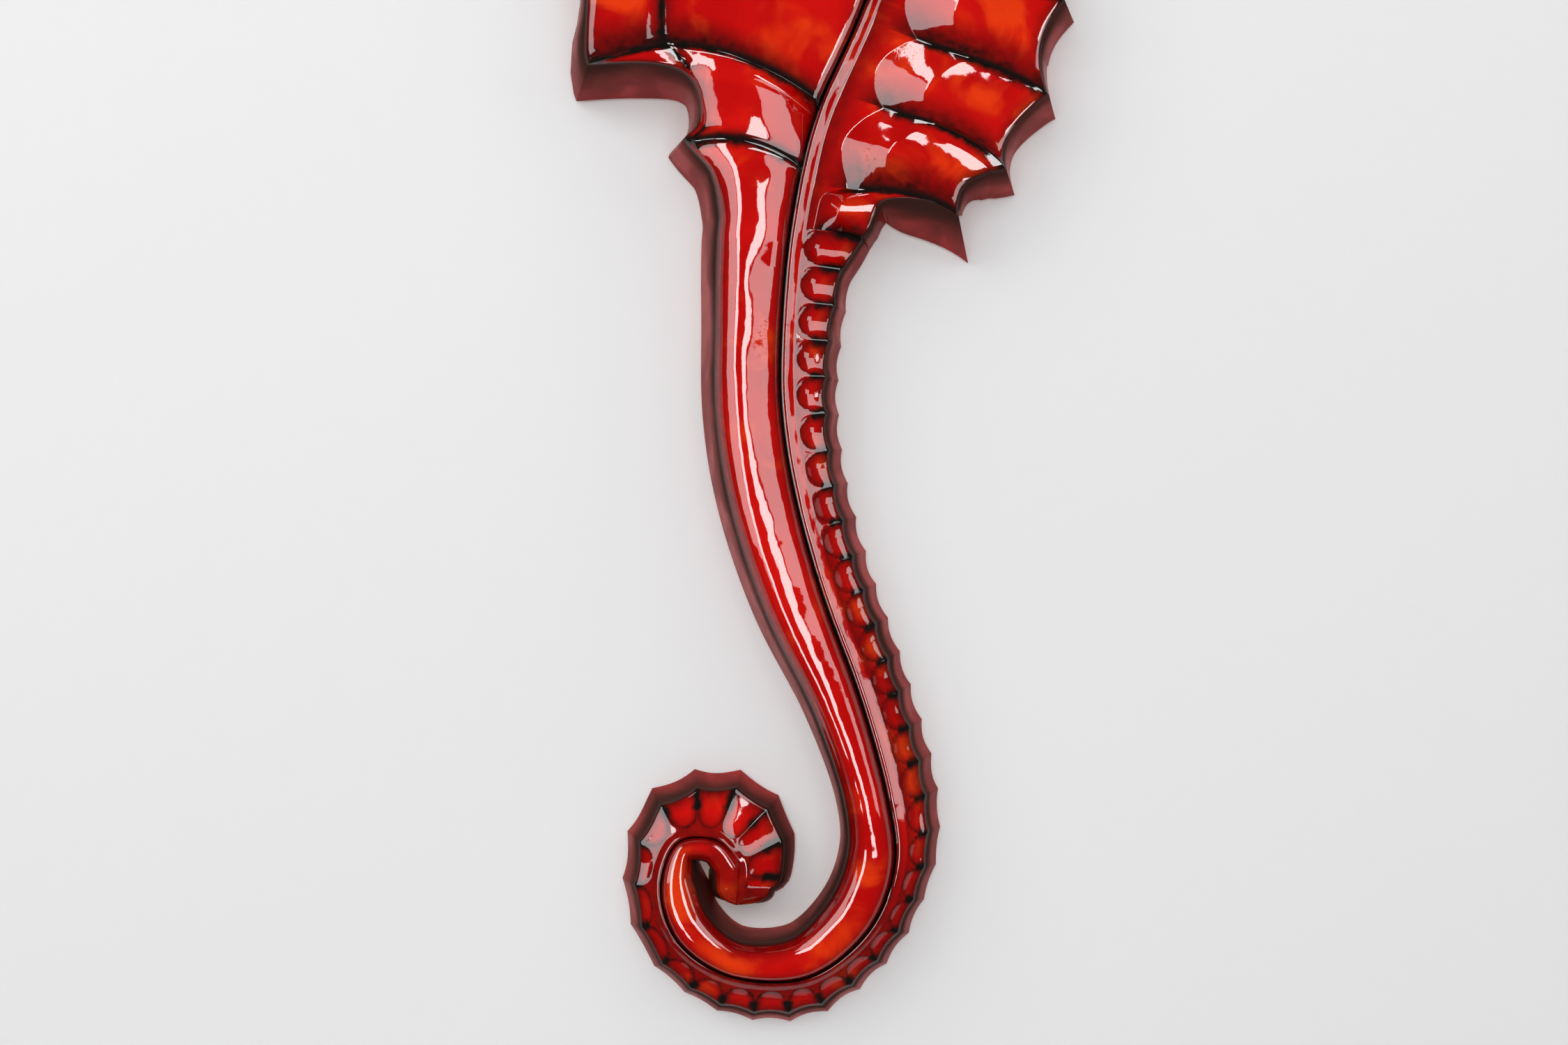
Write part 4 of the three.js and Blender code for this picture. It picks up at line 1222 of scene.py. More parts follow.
class Patches(NamedTuple):
    """Soft cloudy patches: their size in metres, and the span of noise over which they come in."""

    size: float
    low: float
    high: float

    @classmethod
    def group(cls) -> bpy.types.NodeTree:
        """Build the node group of the patches, which every finish of the plaque uses.

        Returns:
            The group, with the patches' mask as its output.
        """
        graph, given = new_tree("cloudy_patches", "Shader", ("Mask", "Float"),
                                Place="Vector", Size="Float", Low="Float", High="Float")
        noise = graph.noise(given["Place"], graph.math("DIVIDE", 1.0, given["Size"]), 4.0, 0.7)
        graph.add("NodeGroupOutput", {"Mask": graph.span(noise, given["Low"], given["High"])})
        return graph.tree


Effects = dict[type, bpy.types.NodeTree]


class Surface(Graph):
    """A material, its shader and the nodes that feed it."""

    def __init__(self, name: str, effects: Effects | None = None) -> None:
        """Start the material.

        Args:
            name: its name.
            effects: the node groups that it may use.
        """
        self.material = bpy.data.materials.new(name)
        self.material.use_nodes = True
        super().__init__(self.material.node_tree)
        self.tree.nodes.clear()
        self.effects = effects
        self.shader = self.add("ShaderNodeBsdfPrincipled")
        self.output = self.add("ShaderNodeOutputMaterial", {"Surface": self.shader.outputs["BSDF"]})

    def feed(self, **sources: Source) -> None:
        """Feed or set the shader's inputs, by name with _ for a space."""
        for name, source in sources.items():
            self.join(source, self.shader.inputs[name.replace("_", " ")])

    def mark(self, mark: Mark) -> Socket:
        """One of the casting's marks."""
        return self.add("ShaderNodeAttribute", attribute_name=mark.value).outputs["Fac"]

    def place(self, stretch: tuple[float, float, float] | None = None) -> Socket:
        """Read where a point of the piece is.

        Args:
            stretch: the scales of a pattern that runs along the piece.

        Returns:
            The Object coordinates, scaled if asked for.
        """
        place = self.add("ShaderNodeTexCoord").outputs["Object"]
        if stretch is None:
            return place
        return self.add("ShaderNodeMapping", {"Vector": place, "Scale": stretch}).outputs["Vector"]

    def mask(self, place: Socket, effect: Specks | Patches) -> Socket:
        """The mask of an effect, from its node group."""
        feeds = dict(enumerate((place, *effect)))
        return self.add("ShaderNodeGroup", feeds, node_tree=self.effects[type(effect)]).outputs["Mask"]


@dataclass(frozen=True)
class Finish:
    """A finish of the plaque's pieces, named as its slot in the record."""

    slot: str

    def make(self, effects: Effects) -> Material:
        """Make the material.

        Args:
            effects: the shared node groups.

        Returns:
            The material.
        """
        surface = Surface(self.slot, effects)
        self.dress(surface)
        return surface.material

    def dress(self, surface: Surface) -> None:
        """Add the finish's own nodes to a surface."""
        raise NotImplementedError


@dataclass(frozen=True)
class RedGlaze(Finish):
    """Glossy red glaze that runs thin and dark over ribs and edges, and leaves the back bare."""

    slot: str = "red_glaze"
    deep_red: Colour = (0.50, 0.0012, 0.0012)
    bright_red: Colour = (0.64, 0.004, 0.002)
    orange: Colour = (0.82, 0.045, 0.003)
    maroon: Colour = (0.030, 0.002, 0.0015)
    line_brown: Colour = (0.007, 0.004, 0.003)
    wall_grey: Colour = (0.052, 0.021, 0.017)
    wall_red: Colour = (0.34, 0.020, 0.018)
    pale_clay: Colour = (0.60, 0.47, 0.35)
    dark_clay: Colour = (0.432, 0.3384, 0.252)
    eye_black: Colour = (0.006, 0.004, 0.004)
    clouds: Patches = Patches(0.045, 0.40, 0.66)
    flames: Noise = Noise(38.0, 4.0, 0.9)
    flame_span: Ramp = Ramp(0.54, 0.76)
    flame_strength: float = 0.85
    warmth: float = 0.16
    ragged: Noise = Noise(260.0, 3.0)
    ragged_shade: tuple[float, ...] = (0.2, 0.8, 0.75, 1.1)
    shade_power: float = 0.8
    line_span: Ramp = Ramp(0.2, 1.5)
    line_raggedness: float = 1.6
    wall_clouds: Patches = Patches(0.016, 0.35, 0.7)
    wall_drift: Noise = Noise(24.0)
    drift_strength: float = 0.7
    least_cloudy: float = 0.6
    low_wall: Ramp = Ramp(0.38, 1.0)
    wall_begins: float = 0.06
    pits: Specks = Specks(58.0, 0.00048, 0.4)
    pit_strength: float = 0.85
    clay_clouds: Patches = Patches(0.006, 0.2, 0.8)
    clay_rough: float = 0.85
    gloss: float = 0.045
    satin: float = 0.8
    low_wall_smoother: float = 0.3
    wall_gloss: float = 0.5
    refraction: float = 1.47
    pinholes: Specks = Specks(1150.0, 0.00026, 0.75)
    pinhole_clouds: Patches = Patches(0.026, 0.60, 0.68)
    pinhole_strength: float = 0.8
    ripple: Noise = Noise(95.0, 1.5)
    ripple_height: float = 0.65
    grain: Noise = Noise(900.0)
    grain_height: float = 0.018
    pit_depth: float = 0.4
    relief: Relief = Relief(0.5, 0.0009)

    def dress(self, surface: Surface) -> None:
        """Lay the glaze over the front, drain it from lines and walls, and leave the back bare.

        Args:
            surface: the glaze's surface.
        """
        place, calc = surface.place(), surface.math
        line, shade, wall, bare, eye, warm = (surface.mark(mark) for mark in Mark)
        colour = surface.blend(surface.mask(place, self.clouds), self.deep_red, self.bright_red)
        flames = calc("ADD", surface.noise(place, *self.flames), calc("MULTIPLY", warm, self.warmth))
        flames = calc("MULTIPLY", surface.span(flames, *self.flame_span), self.flame_strength)
        colour = surface.blend(flames, colour, self.orange)
        ragged = surface.noise(place, *self.ragged)
        # Maroon where the shade mark is high: glaze that runs dark beside lines and edges, and painted shade
        # on the scoops' inner sides
        faded = surface.span(ragged, *self.ragged_shade)
        faded = calc("MULTIPLY", calc("POWER", shade, self.shade_power), faded)
        colour = surface.blend(faded, colour, self.maroon)
        drawn = calc("ADD", line, calc("MULTIPLY", calc("SUBTRACT", ragged, 0.5), self.line_raggedness))
        colour = surface.blend(surface.span(drawn, *self.line_span, 1.0, 0.0), colour, self.line_brown)
        drift = calc("MULTIPLY", surface.noise(place, *self.wall_drift), self.drift_strength)
        cloudy = surface.span(surface.mask(place, self.wall_clouds), 0.0, 1.0, self.least_cloudy, 1.0)
        low_wall = calc("MULTIPLY", surface.span(calc("ADD", wall, drift), *self.low_wall), cloudy)
        on_wall = surface.span(wall, 0.0, self.wall_begins)
        colour = surface.blend(on_wall, colour, surface.blend(low_wall, self.wall_grey, self.wall_red))
        pits = surface.mask(place, self.pits)
        colour = surface.blend(calc("MULTIPLY", pits, self.pit_strength), colour, self.line_brown)
        colour = surface.blend(eye, colour, self.eye_black)
        clay = surface.blend(surface.mask(place, self.clay_clouds), self.dark_clay, self.pale_clay)

        rough = surface.span(on_wall, 0.0, 1.0, self.gloss, self.satin)
        rough = calc("SUBTRACT", rough, calc("MULTIPLY", low_wall, self.low_wall_smoother))
        rough = calc("MAXIMUM", rough, calc("MULTIPLY", bare, self.clay_rough))
        wall_coat = calc("MULTIPLY", on_wall, calc("MULTIPLY", low_wall, self.wall_gloss))
        coat = calc("ADD", calc("SUBTRACT", 1.0, on_wall), wall_coat)
        holes = calc("MULTIPLY", surface.mask(place, self.pinholes), surface.mask(place, self.pinhole_clouds))
        holes = calc("MULTIPLY", holes, self.pinhole_strength)
        for without in (holes, bare):
            coat = calc("MULTIPLY", coat, calc("SUBTRACT", 1.0, without))
        relief = calc("MULTIPLY", surface.noise(place, *self.ripple), self.ripple_height)
        grain = calc("MULTIPLY", surface.noise(place, *self.grain), self.grain_height)
        relief = calc("SUBTRACT", calc("ADD", relief, grain), calc("MULTIPLY", pits, self.pit_depth))
        skin = surface.bump(relief, *self.relief)
        surface.feed(Base_Color=surface.blend(bare, colour, clay), Roughness=rough, Specular_IOR_Level=0.0,
                     Coat_Weight=coat, Coat_Roughness=self.gloss, Coat_IOR=self.refraction,
                     Normal=skin, Coat_Normal=skin)


@dataclass(frozen=True)
class Beech(Finish):
    """Planed beech with long grain along the batten and short dark flecks."""

    slot: str = "beech"
    pale: Colour = (0.56, 0.34, 0.18)
    dark: Colour = (0.34, 0.175, 0.08)
    fleck: Colour = (0.17, 0.08, 0.035)
    grain: Patches = Patches(0.0022, 0.3, 0.72)
    grain_stretch: tuple[float, float, float] = (0.06, 1.0, 1.0)
    flecks: Specks = Specks(520.0, 0.0004, 0.5)
    fleck_stretch: tuple[float, float, float] = (0.22, 1.0, 1.0)
    fleck_strength: float = 0.6
    dark_rough: float = 0.72
    pale_rough: float = 0.55
    relief: Relief = Relief(0.35, 0.0003)

    def dress(self, surface: Surface) -> None:
        """Draw the grain and the flecks.

        Args:
            surface: the wood's surface.
        """
        grain = surface.mask(surface.place(self.grain_stretch), self.grain)
        flecks = surface.mask(surface.place(self.fleck_stretch), self.flecks)
        colour = surface.blend(grain, self.dark, self.pale)
        colour = surface.blend(surface.math("MULTIPLY", flecks, self.fleck_strength), colour, self.fleck)
        rough = surface.span(grain, 0.0, 1.0, self.dark_rough, self.pale_rough)
        surface.feed(Base_Color=colour, Roughness=rough, Normal=surface.bump(grain, *self.relief))


@dataclass(frozen=True)
class Adhesive(Finish):
    """Cured cream epoxy with small bubbles."""

    slot: str = "adhesive"
    cream: Colour = (0.66, 0.58, 0.42)
    amber: Colour = (0.52, 0.42, 0.26)
    clouds: Patches = Patches(0.006, 0.3, 0.7)
    bubbles: Specks = Specks(420.0, 0.0005, 0.5)
    amber_rough: float = 0.3
    cream_rough: float = 0.5
    relief: Relief = Relief(0.4, 0.0004)

    def dress(self, surface: Surface) -> None:
        """Cloud the cream and sink the bubbles.

        Args:
            surface: the adhesive's surface.
        """
        place = surface.place()
        clouds = surface.mask(place, self.clouds)
        relief = surface.math("SUBTRACT", clouds, surface.mask(place, self.bubbles))
        rough = surface.span(clouds, 0.0, 1.0, self.amber_rough, self.cream_rough)
        surface.feed(Base_Color=surface.blend(clouds, self.amber, self.cream), Roughness=rough,
                     Normal=surface.bump(relief, *self.relief))


@dataclass(frozen=True)
class ZincSteel(Finish):
    """Bright zinc plate, faintly cloudy, with drawing marks along the piece."""

    slot: str = "zinc_steel"
    bright: Colour = (0.66, 0.67, 0.69)
    dull: Colour = (0.42, 0.43, 0.45)
    clouds: Patches = Patches(0.004, 0.25, 0.75)
    drawn: Noise = Noise(2600.0)
    drawn_stretch: tuple[float, float, float] = (1.0, 1.0, 0.05)
    drawn_rough: float = 0.1
    dull_rough: float = 0.34
    bright_rough: float = 0.24
    relief: Relief = Relief(0.12, 0.0001)

    def dress(self, surface: Surface) -> None:
        """Cloud the plate and draw the marks.

        Args:
            surface: the steel's surface.
        """
        clouds = surface.mask(surface.place(), self.clouds)
        marks = surface.noise(surface.place(self.drawn_stretch), *self.drawn)
        rough = surface.math("MULTIPLY", marks, self.drawn_rough)
        cloudy = surface.span(clouds, 0.0, 1.0, self.dull_rough, self.bright_rough)
        rough = surface.math("ADD", cloudy, rough)
        surface.feed(Base_Color=surface.blend(clouds, self.dull, self.bright), Metallic=1.0, Roughness=rough,
                     Normal=surface.bump(marks, *self.relief))


@dataclass(frozen=True)
class Felt(Finish):
    """Dark wool felt with a soft nap."""

    slot: str = "felt"
    wool: Colour = (0.060, 0.052, 0.046)
    lint: Colour = (0.17, 0.155, 0.14)
    clouds: Patches = Patches(0.0012, 0.35, 0.75)
    fibres: Noise = Noise(5200.0, 3.0, 1.5)
    nap: float = 0.5
    fibre_rough: tuple[float, ...] = (0.2, 0.8, 0.85, 1.0)
    relief: Relief = Relief(0.6, 0.0005)

    def dress(self, surface: Surface) -> None:
        """Tangle the fibres and gather lint on them.

        Args:
            surface: the felt's surface.
        """
        place = surface.place()
        fibres = surface.noise(place, *self.fibres)
        linty = surface.math("MULTIPLY", surface.mask(place, self.clouds), fibres)
        surface.feed(Base_Color=surface.blend(linty, self.wool, self.lint), Sheen_Weight=self.nap,
                     Roughness=surface.span(fibres, *self.fibre_rough),
                     Normal=surface.bump(fibres, *self.relief))


# The hanging hardware

# Points round an eased edge, and how many eases from it the next row of a flat side lies
EDGE_POINTS = 5
FLAT_INSET = 2.5


def rounded_outline(width: float, height: float, corner: float, points: int = 8) -> Array:
    """Outline of a rectangle with round corners about its middle.

    Args:
        width: its width.
        height: its height.
        corner: radius of its corners.
        points: points on each corner.

    Returns:
        The outline's points in order.
    """
    arcs = []
    for quarter, side in enumerate(((1, 1), (-1, 1), (-1, -1), (1, -1))):
        turn = np.linspace(0, math.pi / 2, points) + quarter * math.pi / 2
        middle = np.array(side) * (width / 2 - corner, height / 2 - corner)
        arcs.append(middle + corner * np.stack([np.cos(turn), np.sin(turn)], axis=1))
    return np.concatenate(arcs)


def slab_rows(width: float, height: float, thickness: float, corner: float, ease: float) -> Array:
    """Rows of a flat block with eased edges.

    Args:
        width: its width along x.
        height: its height along z.
        thickness: its thickness along y, from y = 0.
        corner: radius of its corners.
        ease: radius of its edges.

    Returns:
        The rows, from one flat side to the other.
    """
    turn = np.linspace(0, math.pi / 2, EDGE_POINTS)
    inset = ease * np.concatenate([[FLAT_INSET], 1 - np.sin(turn)])
    depth = ease * np.concatenate([[0], 1 - np.cos(turn)])
    rows = []
    for shrunk, level in zip([*inset, *inset[::-1]], [*depth, *(thickness - depth[::-1])]):
        outline = rounded_outline(width - 2 * shrunk, height - 2 * shrunk, corner - shrunk)
        rows.append(np.insert(outline, 1, level, axis=1))
    return np.array(rows)


def lathe_rows(profile: list[tuple[float, float]], sides: int) -> Array:
    """Rows of a round piece about the y axis.

    Args:
        profile: its radius and level, from one end to the other.
        sides: points on each row.

    Returns:
        The rows.
    """
    turn = np.arange(sides) * 2 * math.pi / sides
    circle = np.stack([np.cos(turn), np.zeros(sides), np.sin(turn)], axis=1)
    return np.array([radius * circle + (0, level, 0) for radius, level in profile])


def end_tree(graph: Graph, given: bpy.types.NodeOutputs, made: Socket) -> bpy.types.NodeTree:
    """End a geometry tree: its geometry made real, with its finish.

    Args:
        graph: the tree's graph.
        given: the sockets of its inputs.
        made: the geometry.

    Returns:
        The tree.
    """
    real = graph.add("GeometryNodeRealizeInstances", {"Geometry": made})
    feeds = {"Geometry": real.outputs[0], "Material": given["Finish"]}
    dressed = graph.add("GeometryNodeSetMaterial", feeds)
    graph.add("NodeGroupOutput", {0: dressed.outputs[0]})
    return graph.tree


def wire_tree() -> bpy.types.NodeTree:
    """Build the node tree that bends a round wire along a closed line.

    Returns:
        The tree, with the wire's radius, its sides and its finish as inputs.
    """
    graph, given = new_tree("bent_wire", "Geometry", ("Wire", "Geometry"), Line="Geometry",
                            Wire_radius="Float", Wire_sides="Int", Finish="Material")
    line = graph.add("GeometryNodeMeshToCurve", {"Mesh": given["Line"]})
    section = graph.add("GeometryNodeCurvePrimitiveCircle",
                        {"Resolution": given["Wire sides"], "Radius": given["Wire radius"]}, mode="RADIUS")
    swept = graph.add("GeometryNodeCurveToMesh",
                      {"Curve": line.outputs["Curve"], "Profile Curve": section.outputs["Curve"]})
    return end_tree(graph, given, swept.outputs["Mesh"])


def copies_tree() -> bpy.types.NodeTree:
    """Build the node tree that sets copies of one piece on points, each turned a little about the y axis.

    Returns:
        The tree, with the piece, the largest turn, the seed and the finish as inputs.
    """
    graph, given = new_tree("set_copies", "Geometry", ("Copies", "Geometry"), Places="Geometry",
                            Piece="Object", Largest_turn="Float", Seed="Int", Finish="Material")
    piece = graph.add("GeometryNodeObjectInfo", {"Object": given["Piece"], "As Instance": True},
                      transform_space="ORIGINAL")
    chance = graph.add("FunctionNodeRandomValue", {"Seed": given["Seed"], 3: given["Largest turn"]},
                       data_type="FLOAT")
    about_y = graph.add("ShaderNodeCombineXYZ", {"Y": chance.outputs[1]})
    turn = graph.add("FunctionNodeEulerToRotation", {"Euler": about_y.outputs["Vector"]})
    size = graph.add("GeometryNodeInputNamedAttribute", {"Name": "copy_size"}, data_type="FLOAT_VECTOR")
    copies = graph.add("GeometryNodeInstanceOnPoints", {
        "Points": given["Places"], "Instance": piece.outputs["Geometry"],
        "Rotation": turn.outputs["Rotation"], "Scale": size.outputs["Attribute"],
    })
    return end_tree(graph, given, copies.outputs["Instances"])


def grown(base: Piece, tree: bpy.types.NodeTree, crease_angle: float, **values: object) -> Piece:
    """Run a node tree on an object and keep the result as a plain mesh.

    Args:
        base: the object that the tree starts from, which is removed.
        tree: the node tree.
        crease_angle: the angle in degrees past which an edge is sharp.
        **values: the tree's inputs, by name with _ for a space.

    Returns:
        The new object, under the base's name.
    """
    modifier = base.modifiers.new("form", "NODES")
    modifier.node_group = tree
    sockets = {item.name: item.identifier for item in tree.interface.items_tree if item.in_out == "INPUT"}
    for label, value in values.items():
        modifier[sockets[label.replace("_", " ")]] = value
    mesh = bpy.data.meshes.new_from_object(base.evaluated_get(bpy.context.evaluated_depsgraph_get()))
    base.modifiers.clear()
    name = base.name
    bpy.data.objects.remove(base)
    mesh.name = name
    return new_piece(name, smoothed(mesh, crease_angle))


def set_copies(template: Piece, name: str, places: Array, sizes: Array, crease_angle: float,
               **values: object) -> Piece:
    """Set copies of a piece on points.

    Args:
        template: the piece, which is removed.
        name: the name of the copies' own piece.
        places: the points.
        sizes: each copy's size along x, y and z.
        crease_angle: the angle in degrees past which an edge is sharp.
        **values: the tree's other inputs.

    Returns:
        One piece with all the copies.
    """
    mesh = bpy.data.meshes.new(name)
    mesh.from_pydata(places.tolist(), [], [])
    mesh.attributes.new("copy_size", "FLOAT_VECTOR", "POINT").data.foreach_set("vector", sizes.ravel())
    piece = grown(new_piece(name, mesh), copies_tree(), crease_angle, Piece=template, **values)
    bpy.data.objects.remove(template)
    return piece


def node_box(node: str) -> tuple[Array, Array, Array]:
    """A node's lowest corner, highest corner and middle, in millimetres."""
    low, high = (np.array(corner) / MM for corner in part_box(node))
    return low, high, (low + high) / 2


@dataclass
class Backing:
    """The wooden batten in the hollow back, and the two beds of adhesive that hold it."""

    corner: float = 3.0
    batten_ease: float = 0.8
    batten_crease: float = 40.0
    bed_ease: float = 0.7
    bed_crease: float = 60.0
    bed_waves: tuple[tuple[int, float], ...] = ((5, 0.012), (11, 0.008), (17, 0.004))

    def _block(self, node: str, ease: float) -> tuple[Array, Array]:
        """Rows of a block as large as a node.

        Args:
            node: the node.
            ease: radius of the block's edges.

        Returns:
            The rows about the middle of the block's front, and that middle.
        """
        low, high, middle = node_box(node)
        front = np.array([middle[0], low[1], middle[2]])
        return slab_rows(*(high - low)[[0, 2, 1]], self.corner, ease), front

    def batten(self, finish: Material) -> Piece:
        """Make the batten with planed, eased edges."""
        rows, middle = self._block("hanger_batten", self.batten_ease)
        return loft("batten", (rows + middle) * MM, self.batten_crease, finish)

    def bed(self, side: str, finish: Material) -> Piece:
        """Make one bed of adhesive, squeezed out to a wavy edge.

        Args:
            side: left or right.
            finish: the cured adhesive.

        Returns:
            The bed.
        """
        rows, middle = self._block(f"batten_bed_{side}", self.bed_ease)
        turn = np.arctan2(rows[..., 2], rows[..., 0])
        swell = 1 + sum(share * np.sin(count * turn + count) for count, share in self.bed_waves)
        rows = rows * np.stack([swell, np.ones_like(swell), swell], axis=-1)
        return loft(f"{side}_adhesive_bed", (rows + middle) * MM, self.bed_crease, finish)


@dataclass
class Hangers:
    """The folded straps, the D-rings that swing in them, and the screws that hold them."""

    wire: float = 3.0
    wire_sides: int = 20
    ring_corner: float = 3.0
    corner_points: int = 7
    arch_points: int = 33
    ring_crease: float = 60.0
    sheet: float = 1.0
    sheet_ease: float = 0.28
    strap_crease: float = 50.0
    least_half_width: float = 0.15
    loop_radius: float = 2.8
    loop_leaves: float = -70.0
    pinch: float = 4.7
    pinch_ease: float = 1.2
    layer_points: int = 26
    loop_points: int = 24
    pinch_points: int = 9
    edge_points: int = 3
    head: float = 6.6
    head_height: float = 2.0
    head_burr: float = 0.2
    head_profile: tuple[tuple[float, float], ...] = (
        (1, 0.4), (0.92, 0.62), (0.7, 0.83), (0.36, 0.96), (0.1, 1),
    )
    screw_sides: int = 32
    screw_crease: float = 35.0
    screw_length: float = 7.5
    screw_tip: float = 0.3
    shank: float = 3.4
    slot_width: float = 1.0
    slot_depth: float = 0.9
    slot_corner: float = 0.2
    slot_ease: float = 0.05
    slot_turn: float = 3.0
    slot_seed: int = 4

    def ring(self, side: str, finish: Material) -> Piece:
        """Bend one D-ring's wire: its bar in the strap's loop, its arch standing up.

        Args:
            side: left or right.
            finish: the plated steel.

        Returns:
            The ring.
        """
        low, high, middle = node_box(f"{side}_hanger_ring")
        half = (high[0] - low[0] - self.wire) / 2
        quarter = np.linspace(0, math.pi / 2, self.corner_points)
        arch = np.linspace(0, math.pi, self.arch_points)
        bend = np.stack([np.sin(quarter) - 1, 1 - np.cos(quarter)], axis=1) * self.ring_corner + (half, 0)
        top = high[2] - low[2] - self.wire - half
        over = np.stack([np.cos(arch), np.sin(arch)], axis=1) * half + (0, top)
        line = np.concatenate([bend, over, bend[::-1] * (-1, 1)])
        points = np.insert(line, 1, 0, axis=1) + (middle[0], middle[1], low[2] + self.wire / 2)
        mesh = bpy.data.meshes.new(f"{side}_ring")
        mesh.from_pydata((points * MM).tolist(), [(k, (k + 1) % len(line)) for k in range(len(line))], [])
        return grown(new_piece(f"{side}_d_ring", mesh), wire_tree(), self.ring_crease,
                     Wire_radius=self.wire / 2 * MM, Wire_sides=self.wire_sides, Finish=finish)

    def _fold(self, length: float) -> Array:
        """Middle line of a folded strap, as distances off the batten and along it.

        Args:
            length: the strap's length below the loop's middle.

        Returns:
            The line's points, from the end of the back layer over the loop to the end of the front layer.
        """
        radius = self.loop_radius - self.sheet / 2
        turn = np.linspace(math.pi, math.radians(self.loop_leaves), self.loop_points)
        loop = np.stack([np.cos(turn), np.sin(turn)], axis=1) * radius + (self.loop_radius, 0)
        leaving = np.array([math.sin(turn[-1]), -math.cos(turn[-1])])
        pinched = np.array([1.5 * self.sheet, -self.pinch])
        handles = loop[-1], loop[-1] + self.pinch_ease * leaving, pinched + (0, self.pinch_ease), pinched
        t = np.linspace(0, 1, self.pinch_points)[1:, None]
        weights = (1 - t) ** 3, 3 * (1 - t) ** 2 * t, 3 * (1 - t) * t**2, t**3
        eased = sum(weight * handle for weight, handle in zip(weights, handles))
        run = cosine_shares(self.layer_points)[:, None]
        back = np.array([self.sheet / 2, 0]) - run[::-1] * (0, length)
        front = pinched - run * (0, length - self.pinch)
        return np.concatenate([back[:-1], loop, eased, front[1:]])

    def strap(self, side: str, finish: Material) -> Piece:
        """Fold one strap of sheet steel, with round ends, over its ring's bar.

        Args:
            side: left or right.
            finish: the plated steel.

        Returns:
            The strap.
        """
        low, high, middle = node_box(f"{side}_hanger_strap")
        bar = high[2] - self.loop_radius
        line = self._fold(bar - low[2])
        run = np.cumsum(steps(line))
        half = (high[0] - low[0]) / 2
        from_end = np.clip(np.minimum(run, run[-1] - run), self.least_half_width, half)
        widths = np.sqrt(half**2 - (half - from_end) ** 2)
        rows = []
        for point, along, width in zip(line, unit(np.gradient(line, axis=0)), widths):
            across, out = rounded_outline(2 * width, self.sheet, self.sheet_ease, self.edge_points).T
            off, up = point[0] - out * along[1], point[1] + out * along[0]
            rows.append(np.stack([middle[0] + across, low[1] + off, bar + up], axis=1))
        return loft(f"{side}_strap", np.array(rows) * MM, self.strap_crease, finish)

    def _screw(self) -> Piece:
        """Turn one slotted pan-head wood screw about the y axis.

        Returns:
            The screw, with its head from y = 0 up.
        """
        shank, head, high, burr = self.shank / 2, self.head / 2, self.head_height, self.head_burr
        profile = [(self.screw_tip, -self.screw_length), (shank, self.shank - self.screw_length),
                   (shank, -burr), (shank, 0), (head - burr, 0), (head, burr)]
        profile += [(share * head, level * high) for share, level in self.head_profile]
        screw = loft("screw", lathe_rows(profile, self.screw_sides) * MM, self.screw_crease)
        cutter = slab_rows(2 * self.head, self.slot_width, 2 * self.slot_depth, self.slot_corner,
                           self.slot_ease)
        slot = loft("slot", (cutter + (0, high - self.slot_depth, 0)) * MM, self.screw_crease)
        cut = screw.modifiers.new("slot", "BOOLEAN")
        cut.operation, cut.solver, cut.object = "DIFFERENCE", "EXACT", slot
        mesh = bpy.data.meshes.new_from_object(screw.evaluated_get(bpy.context.evaluated_depsgraph_get()))
        for spent in (screw, slot):
            bpy.data.objects.remove(spent)
        return new_piece("slotted_screw", mesh)

    def screws(self, nodes: tuple[str, ...], finish: Material) -> Piece:
        """Set the screws where their nodes are, each slot turned as it came to rest.

        Args:
            nodes: the screws' nodes.
            finish: the plated steel.

        Returns:
            One piece with all the screws.
        """
        boxes = np.array([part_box(node) for node in nodes])
        places = boxes.mean(axis=1)
        places[:, 1] = boxes[:, 1, 1] - self.head_height * MM
        return set_copies(self._screw(), "hanger_screws", places, np.ones_like(places), self.screw_crease,
                          Largest_turn=self.slot_turn, Seed=self.slot_seed, Finish=finish)


@dataclass
class FeltPads:
    """The round felt pads under the casting's back."""

    edge: float = 0.4
    sides: int = 40
    seed: int = 9
    frays: tuple[tuple[int, float], ...] = ((9, 0.006), (4, 0.005))
    crease: float = 60.0
    face_rings: tuple[float, ...] = (0.3, 0.7)

    def make(self, nodes: tuple[str, ...], finish: Material) -> Piece:
        """Punch the pads and set them where their nodes are.

        Args:
            nodes: the pads' nodes.
            finish: the felt.

        Returns:
            One piece with all the pads.
        """
        boxes = np.array([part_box(node) for node in nodes])
        places = boxes.mean(axis=1)
        places[:, 1] = boxes[:, 0, 1]
        radii = (boxes[:, 1, 0] - boxes[:, 0, 0]) / 2
        thick = float(boxes[0, 1, 1] - boxes[0, 0, 1])
        edge = self.edge * MM / float(radii.min())
        lower = [(ring, 0.0) for ring in self.face_rings]
        lower += [(1 - edge * (1 - math.sin(turn)), thick * self.edge * (1 - math.cos(turn)))
                  for turn in np.linspace(0, math.pi / 2, EDGE_POINTS)]
        upper = [(radius, thick - level) for radius, level in lower[::-1]]
        around = np.arange(self.sides)
        frayed = 1 + sum(share * np.sin(count * around) for count, share in self.frays)
        rows = lathe_rows(lower + upper, self.sides) * np.stack([frayed, np.ones(self.sides), frayed], axis=1)
        sizes = np.stack([radii, np.ones(len(nodes)), radii], axis=1)
        return set_copies(loft("punched_pad", rows, self.crease), "felt_pads", places, sizes, self.crease,
                          Largest_turn=math.pi, Seed=self.seed, Finish=finish)


# The studio


class Reach(Enum):
    """Which surfaces a lamp lights: all, only as a reflection, or without showing in reflections."""

    ALL = "all"
    GLOSS = "gloss"
    MATT = "matt"


